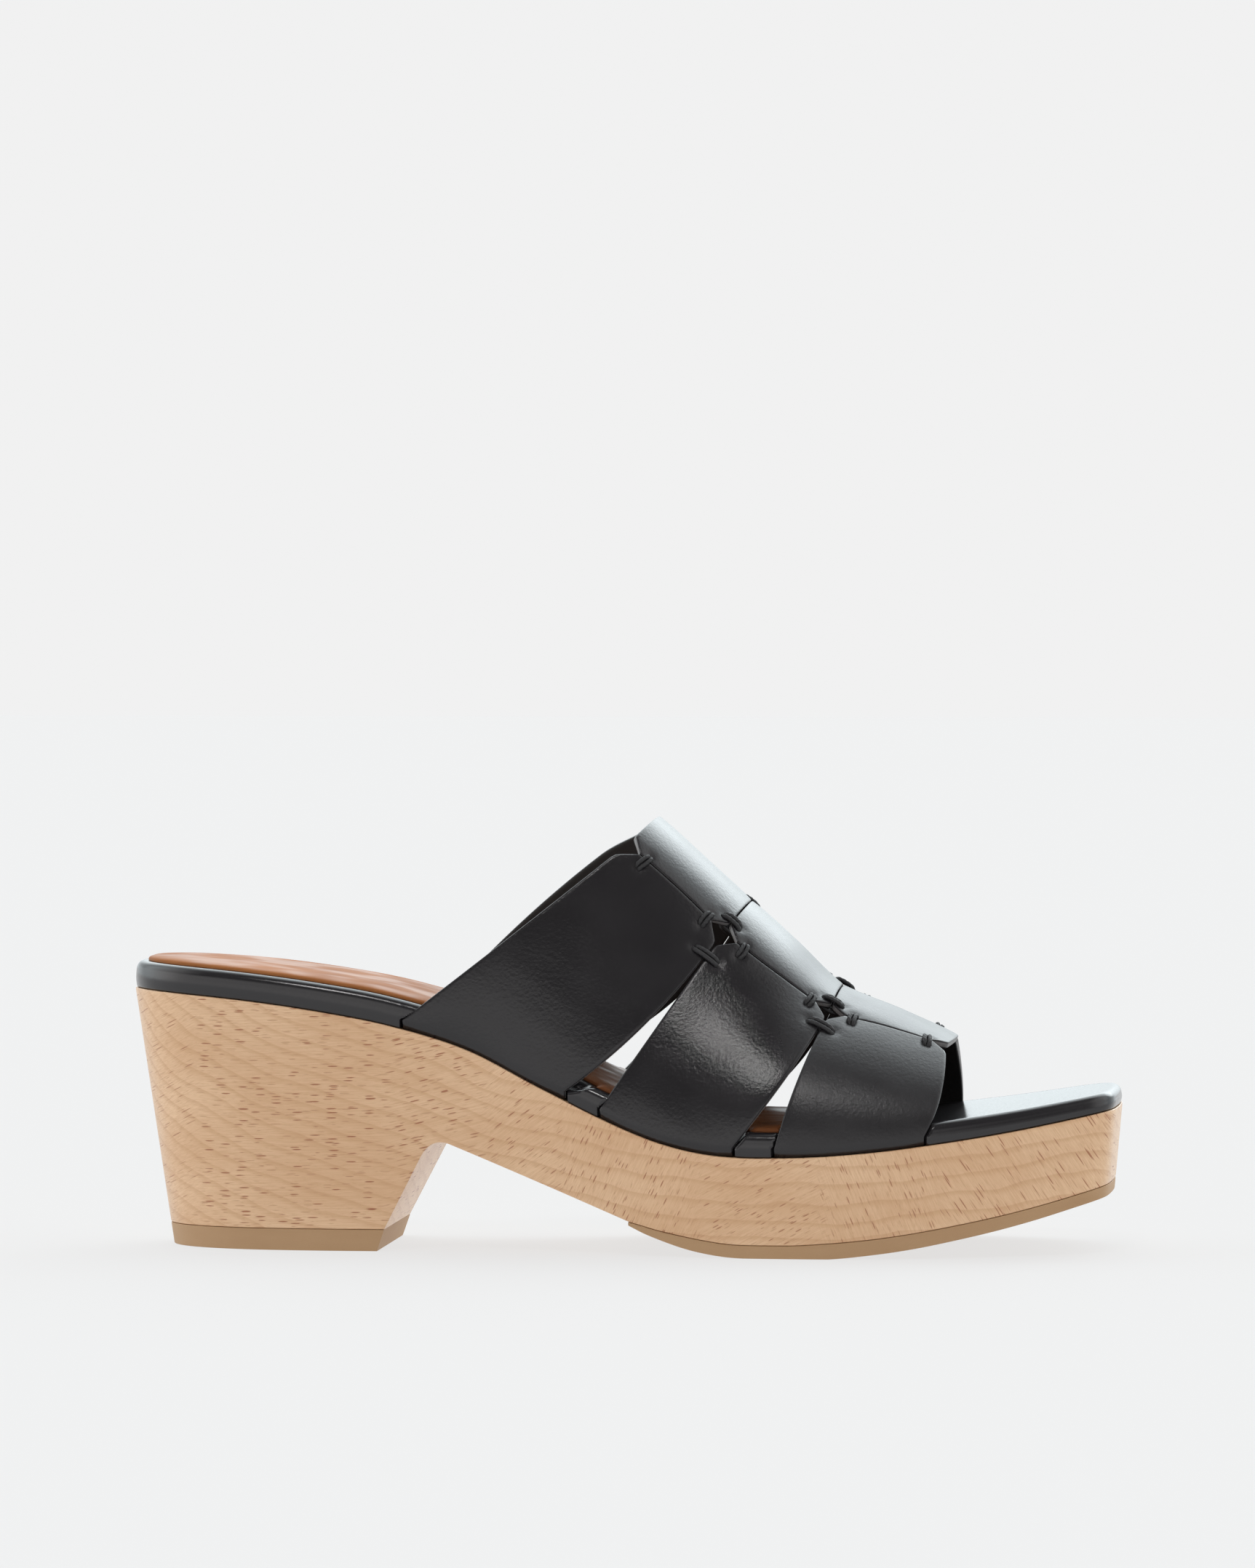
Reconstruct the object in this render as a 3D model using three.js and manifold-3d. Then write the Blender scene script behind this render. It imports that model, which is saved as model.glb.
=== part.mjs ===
// Open-toe wooden clog for a right foot, with an upper of nine leather patches tied edge to edge.
// Millimetres, +Z up, toe towards +X, little-toe side towards -Y, standing on z = 0.
import * as THREE from 'three';
import { mergeVertices } from 'three/addons/utils/BufferGeometryUtils.js';
import Module from 'manifold-3d';

const wasm = await Module();
wasm.setup();

// ---------------------------------------------------------------- driving dimensions
const GAP = 0.3;                  // clearance kept between neighbouring pieces
const HEEL_X = -124.6;            // back of the sole, at the top edge of the wood
const TOE_X = 124.6;              // front of the sole

// Plan outline of the wood at its top edge: [x, half width], one list for each side.
const LATERAL_OUTLINE = [
  [HEEL_X, 0], [-123.7, 9], [-119, 18], [-110, 25], [-97, 29.5], [-78, 31.6], [-56, 32],
  [-35, 32.7], [-15, 35.2], [4, 39.2], [22, 43], [40, 45.2], [56, 45.4], [72, 43.5], [88, 39.3],
  [104, 33.6], [115, 29], [120.6, 26], [123.5, 21.5], [124.4, 12], [TOE_X, 0],
];
const MEDIAL_OUTLINE = [
  [HEEL_X, 0], [-123.7, 9], [-119, 18], [-110, 25], [-97, 29.2], [-78, 30.6], [-56, 30],
  [-35, 30.2], [-15, 32.6], [4, 37.2], [22, 41.8], [40, 44.8], [56, 45.5], [72, 45], [88, 43],
  [102, 39.8], [112, 35.6], [119, 29.6], [122.8, 21], [124.2, 11], [TOE_X, 0],
];
// Height of the wood's top edge along the shoe: [x, z].
const TOP_EDGE = [
  [-130, 65.2], [-112, 64.2], [-93, 62.6], [-74, 60], [-56, 56.5], [-37, 50.7], [-19, 41.7],
  [-1, 33.2], [13, 28], [27, 25.4], [45, 25.2], [63, 26.4], [81, 28.6], [99, 31.4],
  [116.5, 34.8], [130, 37.8],
];
const WALL_TAPER = 0.0024;        // share of the half width lost per mm below the top edge
const HEEL_LEAN = 0.15;           // forward lean of the heel's back, mm per mm of drop
const TOE_LEAN = 0.09;            // backward lean of the toe's front face
const LEAN_FROM = { heel: 60, toe: 95 };  // distance from the middle where each lean starts

const TOP_PIECE = 5.2;            // thickness of the rubber top piece under the heel
const BREAST_FOOT_X = -58.4;      // front of the heel where it meets the top piece
const TOP_PIECE_FRONT = { bottom: -60.3, top: -58.5 };
const ARCH = { from: [-49.2, 23.4], bend: [-46.4, 29], to: [-41.5, 27] };  // heel breast into the arch
const FLAT_TREAD = [33, 54];      // stretch of the forefoot that rests on the floor
// Lower face of the wood where the rubber outsole is glued on: [x, z].
const WOOD_TREAD = [
  [4, 8.5], [13.4, 6.1], [28, 3.6], [38, 3.3], [48, 3.5], [66, 5.1], [85, 8.2], [104, 12.4], [131, 20.2],
];
// Bottom of the outsole behind and in front of the flat tread.
const TREAD_REAR = [[3.8, 7.6], [8, 5.6], [14.3, 3.3], [19, 1.9], [23.8, 0.9], [28.5, 0.25]];
const TREAD_FRONT = [[66, 1.2], [75.4, 2.6], [85, 4.5], [94.4, 6.6], [104, 9.1], [113.3, 11.9], [131, 17.4]];

// Layers of the footbed, as heights above the wood's top edge.
const RIM_HEIGHT = [[-130, 6.9], [-90, 7], [-50, 7.3], [0, 7], [50, 6.1], [90, 5.4], [130, 4.6]];
const FLANGE = { thickness: 0.8, width: 11, bend: 2.2 };
const FILLER = { low: GAP, high: 1.6, inset: 17 };
const BOARD = { low: 2.2, high: 3.2, inset: 2.2 };
const COVER = { thickness: 1.2, foot: 2.2 };
const SOCK = { inset: 3.4, thickness: 1.1, crown: 0.3 };
const FILLER_FRONT_X = 96;
const FOAM_FRONT_X = 62;
const SOCK_FRONT_X = 72;
const STRAP_ZONE = [-66, -57, 87, 94];   // the footbed draws in between these to let the straps past
const STRAP_CLEARANCE = 2.7;

// The upper: crest and seams as seven stations from the instep to the toe opening, [x, z].
const LEATHER = 1.8;
const EDGE_GAP = 0.35;            // half of the seam between two patches
const PATCH_LENGTH = 31.5;        // one patch, measured along the shoe
const CREST = [[7.5, 108.2], [19.3, 97.2], [30.8, 86.6], [42.3, 76], [54, 65.4], [68.5, 59.2], [83.2, 52.8]];
const LATERAL_SEAM = [
  [2.1, 102.2], [14.2, 91.6], [26.4, 80.2], [39.2, 70.2], [53, 60.9], [67.4, 56.7], [81.9, 52.4],
];
const MEDIAL_SEAM = [
  [4.2, 105], [16.4, 94.8], [28.8, 84.9], [41, 74.8], [53.2, 64.4], [68, 58.4], [82.2, 52.3],
];
const SEAM_Y = { lateral: -21, medial: 19 };
const CROWN_Y = { lateral: -11, medial: 12 };
// Where each strap turns down towards the sole, at the rear, at its two ties and at the front.
const LATERAL_SWELL = [[-25.6, -33, 79.7], [9.9, -38, 56.5], [46.5, -45, 48.1], [83.7, -41, 41.3]];
const MEDIAL_SWELL = [[-27.5, 34, 85.5], [13, 40, 59.5], [44.5, 46, 50.5], [82.5, 43, 41.5]];
// Stretch of the sole's edge, [from x, to x], that each strap covers.
const STRAP_FEET = {
  lateral: { rear: [-53.6, -12.2], middle: [-3.6, 30.4], front: [40.5, 78] },
  medial: { rear: [-52, -17], middle: [-8, 26], front: [39, 82] },
};
const PANEL_GIRTH = 46;           // centre panel, from seam to seam over the crest
const CORNER_CUT = 3.9;           // leg of the corner cut that leaves a diamond where four patches meet
const CORNER_TIES = [0.2, 0.83];  // where the two ties of a patch sit along its seam
const CORD = { radius: 0.55, halfWidth: 1.1 };
// Each kind of tie: its length, and how far its ends' middles lie from the seam or the gap.
const SEAM_TIE = { length: 5.3, onStrap: 3, onPanel: 1.4 };
const PANEL_TIE = { length: 6.6, fromSeam: 5, fromGap: 2 };
const STRAP_TIE = { length: 8.2, fromGap: 2, below: [9, 8.6], belowNext: [7.8, 7.9] };
const TACK = { head: 1.6, headHeight: 0.45, shank: 0.45, length: 7.5, seat: 0.15 };
const TACK_PLACES = { shares: [0.25, 0.75], down: 1.75 };  // on each strap's flange
const NAIL = { head: 2.2, shank: 1, bottom: 1, headHeight: 0.7, top: 15 };
const NAIL_PLACES = [[-100, -11], [-100, 11], [-73, -15], [-73, 15]];

const SIDES = { lateral: -1, medial: 1 };
const STRAPS = ['rear', 'middle', 'front'];

// ---------------------------------------------------------------- materials
function finish(color, roughness, metalness = 0) {
  return new THREE.MeshStandardMaterial({ color, roughness, metalness });
}
const MATERIALS = {
  beech: finish(0xcbab8c, 0.6),
  rubber: finish(0xa58260, 0.8),
  leather: finish(0x1c1c1f, 0.35),
  tan: finish(0xc98552, 0.4),
  cord: finish(0x17171a, 0.7),
  board: finish(0xb39b78, 0.9),
  cork: finish(0xa8845a, 0.95),
  foam: finish(0xe4dccb, 0.95),
  steel: finish(0x9a9a9c, 0.35, 1),
};

// ---------------------------------------------------------------- helpers
const { lerp, smoothstep, clamp } = THREE.MathUtils;
const at = (x, y, z) => new THREE.Vector3(x, y, z);

// Smooth curve through [x, value] stations, read at any x.
function valueAt(stations, x) {
  let i = 0;
  while (i < stations.length - 2 && stations[i + 1][0] < x) i += 1;
  const slope = (a, b) => (stations[b][1] - stations[a][1]) / (stations[b][0] - stations[a][0]);
  const last = stations.length - 1;
  const [x0, v0] = stations[i];
  const [x1, v1] = stations[i + 1];
  const m0 = slope(Math.max(i - 1, 0), i + 1);
  const m1 = slope(i, Math.min(i + 2, last));
  const t = clamp((x - x0) / (x1 - x0), 0, 1);
  const bend = t * (1 - t) * (x1 - x0);
  return lerp(v0, v1, t * t * (3 - 2 * t)) + bend * (m0 * (1 - t) - m1 * t);
}
const topEdge = (x) => valueAt(TOP_EDGE, x);
const rimHeight = (x) => valueAt(RIM_HEIGHT, x);
const halfWidth = (side, x) => valueAt(side === 'lateral' ? LATERAL_OUTLINE : MEDIAL_OUTLINE, x);
const flatCurve = (points) => new THREE.SplineCurve(points.map(([x, y]) => new THREE.Vector2(x, y)));

// A closed geometry as a manifold solid, and back.
function solid(geometry) {
  const bare = geometry.index ? geometry.clone() : mergeVertices(geometry);
  bare.deleteAttribute('normal');
  bare.deleteAttribute('uv');
  const merged = mergeVertices(bare, 1e-4);
  return new wasm.Manifold(new wasm.Mesh({
    numProp: 3,
    vertProperties: new Float32Array(merged.attributes.position.array),
    triVerts: new Uint32Array(merged.index.array),
  }));
}
function fromSolid(body) {
  const mesh = body.getMesh();
  return surface(mesh.vertProperties, mesh.triVerts);
}
function surface(positions, triangles) {
  const geometry = new THREE.BufferGeometry();
  geometry.setAttribute('position', new THREE.BufferAttribute(new Float32Array(positions), 3));
  geometry.setIndex(Array.from(triangles));
  return geometry;
}
// Moves every vertex of a geometry.
function reshape(geometry, move) {
  const position = geometry.attributes.position;
  for (let i = 0; i < position.count; i += 1) {
    const p = move(at(position.getX(i), position.getY(i), position.getZ(i)));
    position.setXYZ(i, p.x, p.y, p.z);
  }
  return geometry;
}

const clog = new THREE.Group();
clog.name = 'clog';
function add(name, geometry, material) {
  const mesh = new THREE.Mesh(geometry, material);
  mesh.name = name;
  clog.add(mesh);
}

// ---------------------------------------------------------------- sole
const OUTLINE_STEPS = 30;         // corners of the faceted outline on each side
const FAR = 131;                  // past both ends of the sole
const TOP_STEPS = 40;             // facets along the wood's top edge
const WIDE = 60;                  // past both sides of the sole
const BLOCK = { under: 1, height: 80 };
const OUTLINES = {
  lateral: flatCurve(LATERAL_OUTLINE.map(([x, w]) => [x, -w])),
  medial: flatCurve(MEDIAL_OUTLINE),
};

// Point k of a side's outline, moved inwards by a distance.
function outlinePoint(side, k, inset) {
  const u = k / OUTLINE_STEPS;
  const point = OUTLINES[side].getPointAt(u);
  const tangent = OUTLINES[side].getTangentAt(u);
  const end = k === 0 || k === OUTLINE_STEPS;
  const outward = end
    ? new THREE.Vector2(k === 0 ? -1 : 1, 0)
    : new THREE.Vector2(-tangent.y, tangent.x).multiplyScalar(SIDES[side]);
  return point.addScaledVector(outward, -inset);
}

// The walls of the sole, leaning in below the top edge, as one tall block.
function soleBlock() {
  const loop = [];
  for (let k = 0; k < OUTLINE_STEPS; k += 1) loop.push(outlinePoint('lateral', k, 0));
  for (let k = OUTLINE_STEPS; k > 0; k -= 1) loop.push(outlinePoint('medial', k, 0));
  const outline = new THREE.Shape(loop);
  const block = new THREE.ExtrudeGeometry(outline, { depth: BLOCK.height, bevelEnabled: false });
  return solid(reshape(block, (p) => {
    const z = p.z - BLOCK.under;
    const drop = topEdge(p.x) - z;
    const heel = HEEL_LEAN * smoothstep(-p.x, LEAN_FROM.heel, -HEEL_X);
    const toe = TOE_LEAN * smoothstep(p.x, LEAN_FROM.toe, TOE_X);
    return at(p.x + drop * (heel - toe), p.y * (1 - WALL_TAPER * drop), z);
  }));
}

// A side view, [x, z], cut right across the shoe.
function acrossShoe(shape) {
  const slab = new THREE.ExtrudeGeometry(shape, { depth: 2 * WIDE, bevelEnabled: false, curveSegments: 8 });
  slab.rotateX(Math.PI / 2);
  slab.translate(0, WIDE, 0);
  return solid(slab);
}
const curvePoints = (stations, steps, dz = 0) =>
  flatCurve(stations).getPoints(steps).map((p) => new THREE.Vector2(p.x, p.y + dz));

function woodProfile() {
  const shape = new THREE.Shape();
  shape.moveTo(-FAR, TOP_PIECE + GAP);
  shape.lineTo(BREAST_FOOT_X, TOP_PIECE + GAP);
  shape.lineTo(...ARCH.from);
  shape.quadraticCurveTo(...ARCH.bend, ...ARCH.to);
  curvePoints(WOOD_TREAD, 22).forEach((p) => shape.lineTo(p.x, p.y));
  for (let i = TOP_STEPS; i >= 0; i -= 1) {
    const x = lerp(-FAR, FAR, i / TOP_STEPS);
    shape.lineTo(x, topEdge(x));
  }
  return acrossShoe(shape);
}
function outsoleProfile() {
  const shape = new THREE.Shape();
  shape.moveTo(...TREAD_REAR[0]);
  curvePoints([...TREAD_REAR, [FLAT_TREAD[0], 0]], 9).forEach((p) => shape.lineTo(p.x, p.y));
  curvePoints([[FLAT_TREAD[1], 0], ...TREAD_FRONT], 14).forEach((p) => shape.lineTo(p.x, p.y));
  curvePoints(WOOD_TREAD, 22, -GAP).reverse().forEach((p) => shape.lineTo(p.x, p.y));
  return acrossShoe(shape);
}
function topPieceProfile() {
  const shape = new THREE.Shape();
  shape.moveTo(-FAR, 0);
  shape.lineTo(TOP_PIECE_FRONT.bottom, 0);
  shape.lineTo(TOP_PIECE_FRONT.top, TOP_PIECE);
  shape.lineTo(-FAR, TOP_PIECE);
  return acrossShoe(shape);
}

// A turned pin along +Z: [radius, z] stations from its lower end, tilted about Y and put in place.
function turnedPin(profile, place, grow = 0, tilt = 0) {
  const points = profile.map(([r, z]) => new THREE.Vector2(r > 0 ? r + grow : 0, z));
  const pin = new THREE.LatheGeometry(points, grow > 0 ? 6 : 8);
  pin.rotateX(Math.PI / 2);
  pin.rotateY(tilt);
  pin.translate(place.x, place.y, place.z);
  return pin;
}
function heelNail(place, clearance = 0) {
  const { head, shank, bottom, headHeight, top } = NAIL;
  const under = clearance > 0 ? -1 : bottom;
  const neck = bottom + headHeight + clearance;
  return turnedPin(
    [[0, under], [head, under], [head, neck], [shank, neck], [shank, top - 2], [0, top + clearance]],
    place, clearance,
  );
}
function strapTack(tack, clearance = 0) {
  const { head, headHeight, shank, length } = TACK;
  const tip = -length - clearance;
  return turnedPin(
    [[0, tip], [shank, tip + 1.4], [shank, 0], [head, 0], [head, headHeight], [0, headHeight]],
    tack.place, clearance, tack.tilt,
  );
}

// ---------------------------------------------------------------- footbed
const strapInset = (x) => {
  const [a, b, c, d] = STRAP_ZONE;
  return STRAP_CLEARANCE * smoothstep(x, a, b) * (1 - smoothstep(x, c, d));
};

// A layer that follows the sole's outline: each ring has an inset and a height above the top edge,
// and the first and last rings are closed by rungs from side to side.
function footbedLayer(rings, frontX = TOE_X + 1) {
  let last = OUTLINE_STEPS;
  while (outlinePoint('lateral', last, 0).x > frontX) last -= 1;
  const open = last < OUTLINE_STEPS;
  const count = open ? 2 * last + 1 : 2 * last;
  const lateral = (k) => k;
  const medial = (k) => {
    if (k === 0) return 0;
    return open ? 2 * last + 1 - k : (2 * last - k) % count;
  };
  const positions = [];
  rings.forEach(([inset, height]) => {
    const place = (side, k) => {
      const edge = outlinePoint(side, k, 0);
      const p = outlinePoint(side, k, inset + strapInset(edge.x));
      const pull = open ? Math.min(0, frontX - edge.x) : 0;
      return [p.x + pull, p.y, topEdge(p.x + pull) + height(p.x + pull)];
    };
    for (let k = 0; k <= last; k += 1) positions.push(...place('lateral', k));
    const start = open ? last : last - 1;
    for (let k = start; k > 0; k -= 1) positions.push(...place('medial', k));
  });
  const triangles = [];
  for (let r = 0; r < rings.length - 1; r += 1) {
    for (let i = 0; i < count; i += 1) {
      const j = (i + 1) % count;
      const [a, b, c, d] = [r * count + i, r * count + j, (r + 1) * count + j, (r + 1) * count + i];
      triangles.push(a, b, c, a, c, d);
    }
  }
  const cap = (base, flip) => {
    for (let k = 0; k < last; k += 1) {
      const quad = [lateral(k), lateral(k + 1), medial(k + 1), medial(k)];
      [[0, 1, 2], [0, 2, 3]].forEach((corner) => {
        const [a, b, c] = corner.map((n) => base + quad[n]);
        if (a === b || b === c || a === c) return;
        triangles.push(...(flip ? [a, c, b] : [a, b, c]));
      });
    }
  };
  cap(0, true);
  cap((rings.length - 1) * count, false);
  return surface(positions, triangles);
}
const level = (height) => () => height;
const belowRim = (depth) => (x) => rimHeight(x) - depth;

function addFootbed() {
  const foot = (x) => GAP + (COVER.foot - GAP) * (strapInset(x) / STRAP_CLEARANCE);
  const ceiling = belowRim(COVER.thickness);
  const inner = COVER.thickness;
  add('bottom_filler', footbedLayer([[FILLER.inset, level(FILLER.low)], [FILLER.inset, level(FILLER.high)]],
    FILLER_FRONT_X), MATERIALS.cork);
  add('insole_board', footbedLayer([[BOARD.inset, level(BOARD.low)], [BOARD.inset, level(BOARD.high)]]),
    MATERIALS.board);
  add('footbed_foam', footbedLayer([
    [inner + GAP, level(BOARD.high + GAP)],
    [inner + GAP, belowRim(COVER.thickness + GAP + 0.5)],
    [inner + 2, belowRim(COVER.thickness + GAP)],
  ], FOAM_FRONT_X), MATERIALS.foam);
  add('footbed_cover', footbedLayer([
    [inner + 0.6, ceiling],
    [inner, belowRim(COVER.thickness + 0.7)],
    [inner, foot],
    [0.4, foot],
    [0, (x) => foot(x) + 0.8],
    [0, belowRim(2.4)],
    [0.7, belowRim(0.8)],
    [2.4, belowRim(0)],
  ]), MATERIALS.leather);
  add('insole_sock', footbedLayer([
    [SOCK.inset, belowRim(-GAP)],
    [SOCK.inset, belowRim(-GAP - SOCK.thickness * 0.5)],
    [SOCK.inset + 0.9, belowRim(-GAP - SOCK.thickness)],
    [SOCK.inset + 6, belowRim(-GAP - SOCK.thickness - SOCK.crown * 0.6)],
    [SOCK.inset + 14, belowRim(-GAP - SOCK.thickness - SOCK.crown)],
  ], SOCK_FRONT_X), MATERIALS.tan);
}

// ---------------------------------------------------------------- upper
// The outer face of the upper, read at u = 0 (instep) to 1 (toe opening).
const along = (stations, y) => new THREE.CatmullRomCurve3(stations.map(([x, z]) => at(x, y, z)));
const crest = along(CREST, 0);
const seams = { lateral: along(LATERAL_SEAM, SEAM_Y.lateral), medial: along(MEDIAL_SEAM, SEAM_Y.medial) };
const swells = {
  lateral: new THREE.CatmullRomCurve3(LATERAL_SWELL.map((p) => at(...p))),
  medial: new THREE.CatmullRomCurve3(MEDIAL_SWELL.map((p) => at(...p))),
};

// Centre panels: across = 0 at the lateral seam, 1 at the medial seam, crest halfway.
function panelPoint(u, across) {
  const a = seams.lateral.getPoint(u);
  const d = seams.medial.getPoint(u);
  const top = crest.getPoint(u).multiplyScalar(8).sub(a).sub(d).divideScalar(6);
  const b = at(top.x, CROWN_Y.lateral, top.z);
  const c = at(top.x, CROWN_Y.medial, top.z);
  return new THREE.CubicBezierCurve3(a, b, c, d).getPoint(across);
}

// Straps: down = 0 at the seam, 1 at the sole's edge, 2 at the end of the flange under the footbed.
function strapPoint(side, k, s, down) {
  const u = clamp((k + s) / 3, 0, 1);
  const [from, to] = STRAP_FEET[side][STRAPS[k]];
  const sign = SIDES[side];
  const x = lerp(from, to, s);
  const edge = halfWidth(side, x) - GAP;
  const wood = topEdge(x) + GAP;
  const foot = at(x, sign * edge, wood + FLANGE.bend);
  if (down <= 1) {
    const seam = seams[side].getPoint(u);
    return new THREE.QuadraticBezierCurve3(seam, swells[side].getPoint(u), foot).getPoint(down);
  }
  const turn = Math.min((down - 1) / 0.3, 1) * (Math.PI / 2);
  const inward = FLANGE.bend * (1 - Math.cos(turn)) + FLANGE.width * Math.max(0, (down - 1.3) / 0.7);
  return at(x, sign * (edge - inward), wood + FLANGE.bend * (1 - Math.sin(turn)));
}

// Unit normal of a face given as point(a, b), on its outer side.
function outwardNormal(point, a, b, sign) {
  const h = 1e-3;
  const da = point(a + h, b).sub(point(a - h, b));
  const db = point(a, b + h).sub(point(a, b - h));
  return da.cross(db).normalize().multiplyScalar(sign);
}

const strapNormal = (side, k, s, down) =>
  outwardNormal((a, b) => strapPoint(side, k, a, b), s, down, SIDES[side]);
const panelNormal = (u, across) => outwardNormal(panelPoint, u, across, 1);

// Millimetres of leather for one unit of down, just below the seam of a strap.
const strapPace = (side, k) => {
  const u = (k + 0.5) / 3;
  return 2 * swells[side].getPoint(u).distanceTo(seams[side].getPoint(u));
};

// Both patches are cut square to this at the seam between them.
function seamNormal(side, u) {
  const k = Math.min(2, Math.floor(u * 3));
  return strapNormal(side, k, u * 3 - k, 0.01).add(panelNormal(u, side === 'lateral' ? 0 : 1)).normalize();
}

// A leather patch: rows of points between two edges, thickened inwards from the outer face.
function patch(point, normal, rows, edges, sign, thickness) {
  const columns = 4;
  const box = new THREE.BoxGeometry(1, 1, 1, columns, rows.length - 1, 1);
  reshape(box, (p) => {
    const b = rows[Math.round((p.y + 0.5) * (rows.length - 1))];
    const [low, high] = edges(b);
    const a = lerp(low, high, p.x + 0.5);
    const depth = p.z > 0 ? 0 : thickness(b);
    return point(a, b).addScaledVector(normal(a, b), -depth);
  });
  if (sign < 0) {
    const index = box.index.array;
    for (let i = 0; i < index.length; i += 3) [index[i], index[i + 1]] = [index[i + 1], index[i]];
  }
  return solid(box);
}
// Edges of a patch that is cut back at its corners: cut(b) is 1 at a corner row, 0 past the corner.
const cutEdges = (cut, share) => (b) => {
  const back = (EDGE_GAP + CORNER_CUT * cut(b)) / PATCH_LENGTH;
  return [share[0] + back * share[2], share[1] - back * share[2]];
};

function strapPatch(side, k) {
  const pace = strapPace(side, k);
  const start = EDGE_GAP / pace;
  const corner = CORNER_CUT / pace;
  const rows = [start, start + corner];
  for (let i = 1; i <= 6; i += 1) rows.push(lerp(start + corner, 1, i / 6));
  rows.push(1.15, 1.3, 2);
  const cut = (b) => clamp(1 - (b - start) / corner, 0, 1);
  const thickness = (b) => lerp(LEATHER, FLANGE.thickness, clamp((b - 1) / 0.3, 0, 1));
  const point = (s, down) => strapPoint(side, k, s, down);
  const normal = (s, down) => seamNormal(side, (k + clamp(s, 0.001, 0.999)) / 3)
    .lerp(strapNormal(side, k, s, down), clamp((down - start) / corner, 0, 1)).normalize();
  return patch(point, normal, rows, cutEdges(cut, [0, 1, 1]), SIDES[side], thickness);
}
function panelPatch(k) {
  const start = EDGE_GAP / PANEL_GIRTH;
  const corner = CORNER_CUT / PANEL_GIRTH;
  const rows = [start, start + corner];
  for (let i = 1; i < 7; i += 1) rows.push(lerp(start + corner, 1 - start - corner, i / 7));
  rows.push(1 - start - corner, 1 - start);
  const cut = (b) => clamp(1 - (Math.min(b, 1 - b) - start) / corner, 0, 1);
  const normal = (u, across) => seamNormal(across < 0.5 ? 'lateral' : 'medial', clamp(u, 0.001, 0.999))
    .lerp(panelNormal(u, across), clamp((Math.min(across, 1 - across) - start) / corner, 0, 1)).normalize();
  return patch(panelPoint, normal, rows, cutEdges(cut, [k / 3, (k + 1) / 3, 1 / 3]), 1, () => LEATHER);
}

// A cord tie: a flat link that goes through both patches and over the seam between them.
function tieLink(tie, clearance = 0) {
  const cord = CORD.radius + clearance;
  const link = new THREE.TorusGeometry(1, cord, 6, 12);
  const reach = tie.length / 2 - CORD.radius;
  const rise = LEATHER / 2 + GAP + CORD.radius;
  const square = (c) => Math.sign(c) * Math.abs(c) ** 0.7;
  const side = tie.direction.clone().cross(tie.normal);
  return reshape(link, (p) => {
    const angle = Math.atan2(p.y, p.x);
    const out = Math.hypot(p.x, p.y) - 1;
    const run = square(Math.cos(angle)) * reach + Math.cos(angle) * out;
    const height = square(Math.sin(angle)) * rise + Math.sin(angle) * out;
    const width = (p.z / cord) * (CORD.halfWidth + clearance);
    return tie.place.clone()
      .addScaledVector(tie.direction, run)
      .addScaledVector(tie.normal, height - LEATHER / 2)
      .addScaledVector(side, width);
  });
}
// A tie's place and axes, from a point on one patch and a point on the other.
function tieBetween(name, pieces, from, to, normal, length) {
  const direction = to.clone().sub(from).normalize();
  const square = normal.clone().addScaledVector(direction, -normal.dot(direction)).normalize();
  return { name, pieces, place: from.clone().lerp(to, 0.5), direction, normal: square, length };
}

function allTies() {
  const ties = [];
  Object.entries(SIDES).forEach(([side, sign]) => {
    const inside = (mm) => (sign < 0 ? mm / PANEL_GIRTH : 1 - mm / PANEL_GIRTH);
    const onStrap = (k, s, mm) => strapPoint(side, k, s, mm / strapPace(side, k));
    STRAPS.forEach((strap, k) => {
      const panel = `vamp_panel_${strap}`;
      const own = `${side}_strap_${strap}`;
      CORNER_TIES.forEach((share, n) => {
        const u = (k + share) / 3;
        ties.push(tieBetween(`${side}_tie_${strap}_${n + 1}`, [own, panel],
          onStrap(k, share, SEAM_TIE.onStrap), panelPoint(u, inside(SEAM_TIE.onPanel)),
          seamNormal(side, u), SEAM_TIE.length));
      });
      if (k === STRAPS.length - 1) return;
      const next = STRAPS[k + 1];
      const meet = (k + 1) / 3;
      const across = inside(PANEL_TIE.fromSeam);
      const panelStep = PANEL_TIE.fromGap / PATCH_LENGTH / 3;
      ties.push(tieBetween(`${side}_tie_panels_${k + 1}`, [panel, `vamp_panel_${next}`],
        panelPoint(meet - panelStep, across), panelPoint(meet + panelStep, across),
        panelNormal(meet, across), PANEL_TIE.length));
      const step = STRAP_TIE.fromGap / PATCH_LENGTH;
      ties.push(tieBetween(`${side}_tie_straps_${k + 1}`, [own, `${side}_strap_${next}`],
        onStrap(k, 1 - step, STRAP_TIE.below[k]), onStrap(k + 1, step, STRAP_TIE.belowNext[k]),
        strapNormal(side, k, 1, STRAP_TIE.below[k] / strapPace(side, k)), STRAP_TIE.length));
    });
  });
  return ties;
}

function allTacks() {
  const tacks = [];
  Object.keys(SIDES).forEach((side) => STRAPS.forEach((strap, k) => TACK_PLACES.shares.forEach((share, n) => {
    const place = strapPoint(side, k, share, TACK_PLACES.down);
    const tilt = -Math.atan(topEdge(place.x + 0.5) - topEdge(place.x - 0.5));
    place.addScaledVector(at(Math.sin(tilt), 0, Math.cos(tilt)), FLANGE.thickness + TACK.seat);
    tacks.push({ name: `${side}_tack_${strap}_${n + 1}`, strap: `${side}_strap_${strap}`, place, tilt });
  })));
  return tacks;
}

// ---------------------------------------------------------------- assembly
const ties = allTies();
const tacks = allTacks();
const nails = NAIL_PLACES.map(([x, y]) => at(x, y, 0));

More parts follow.
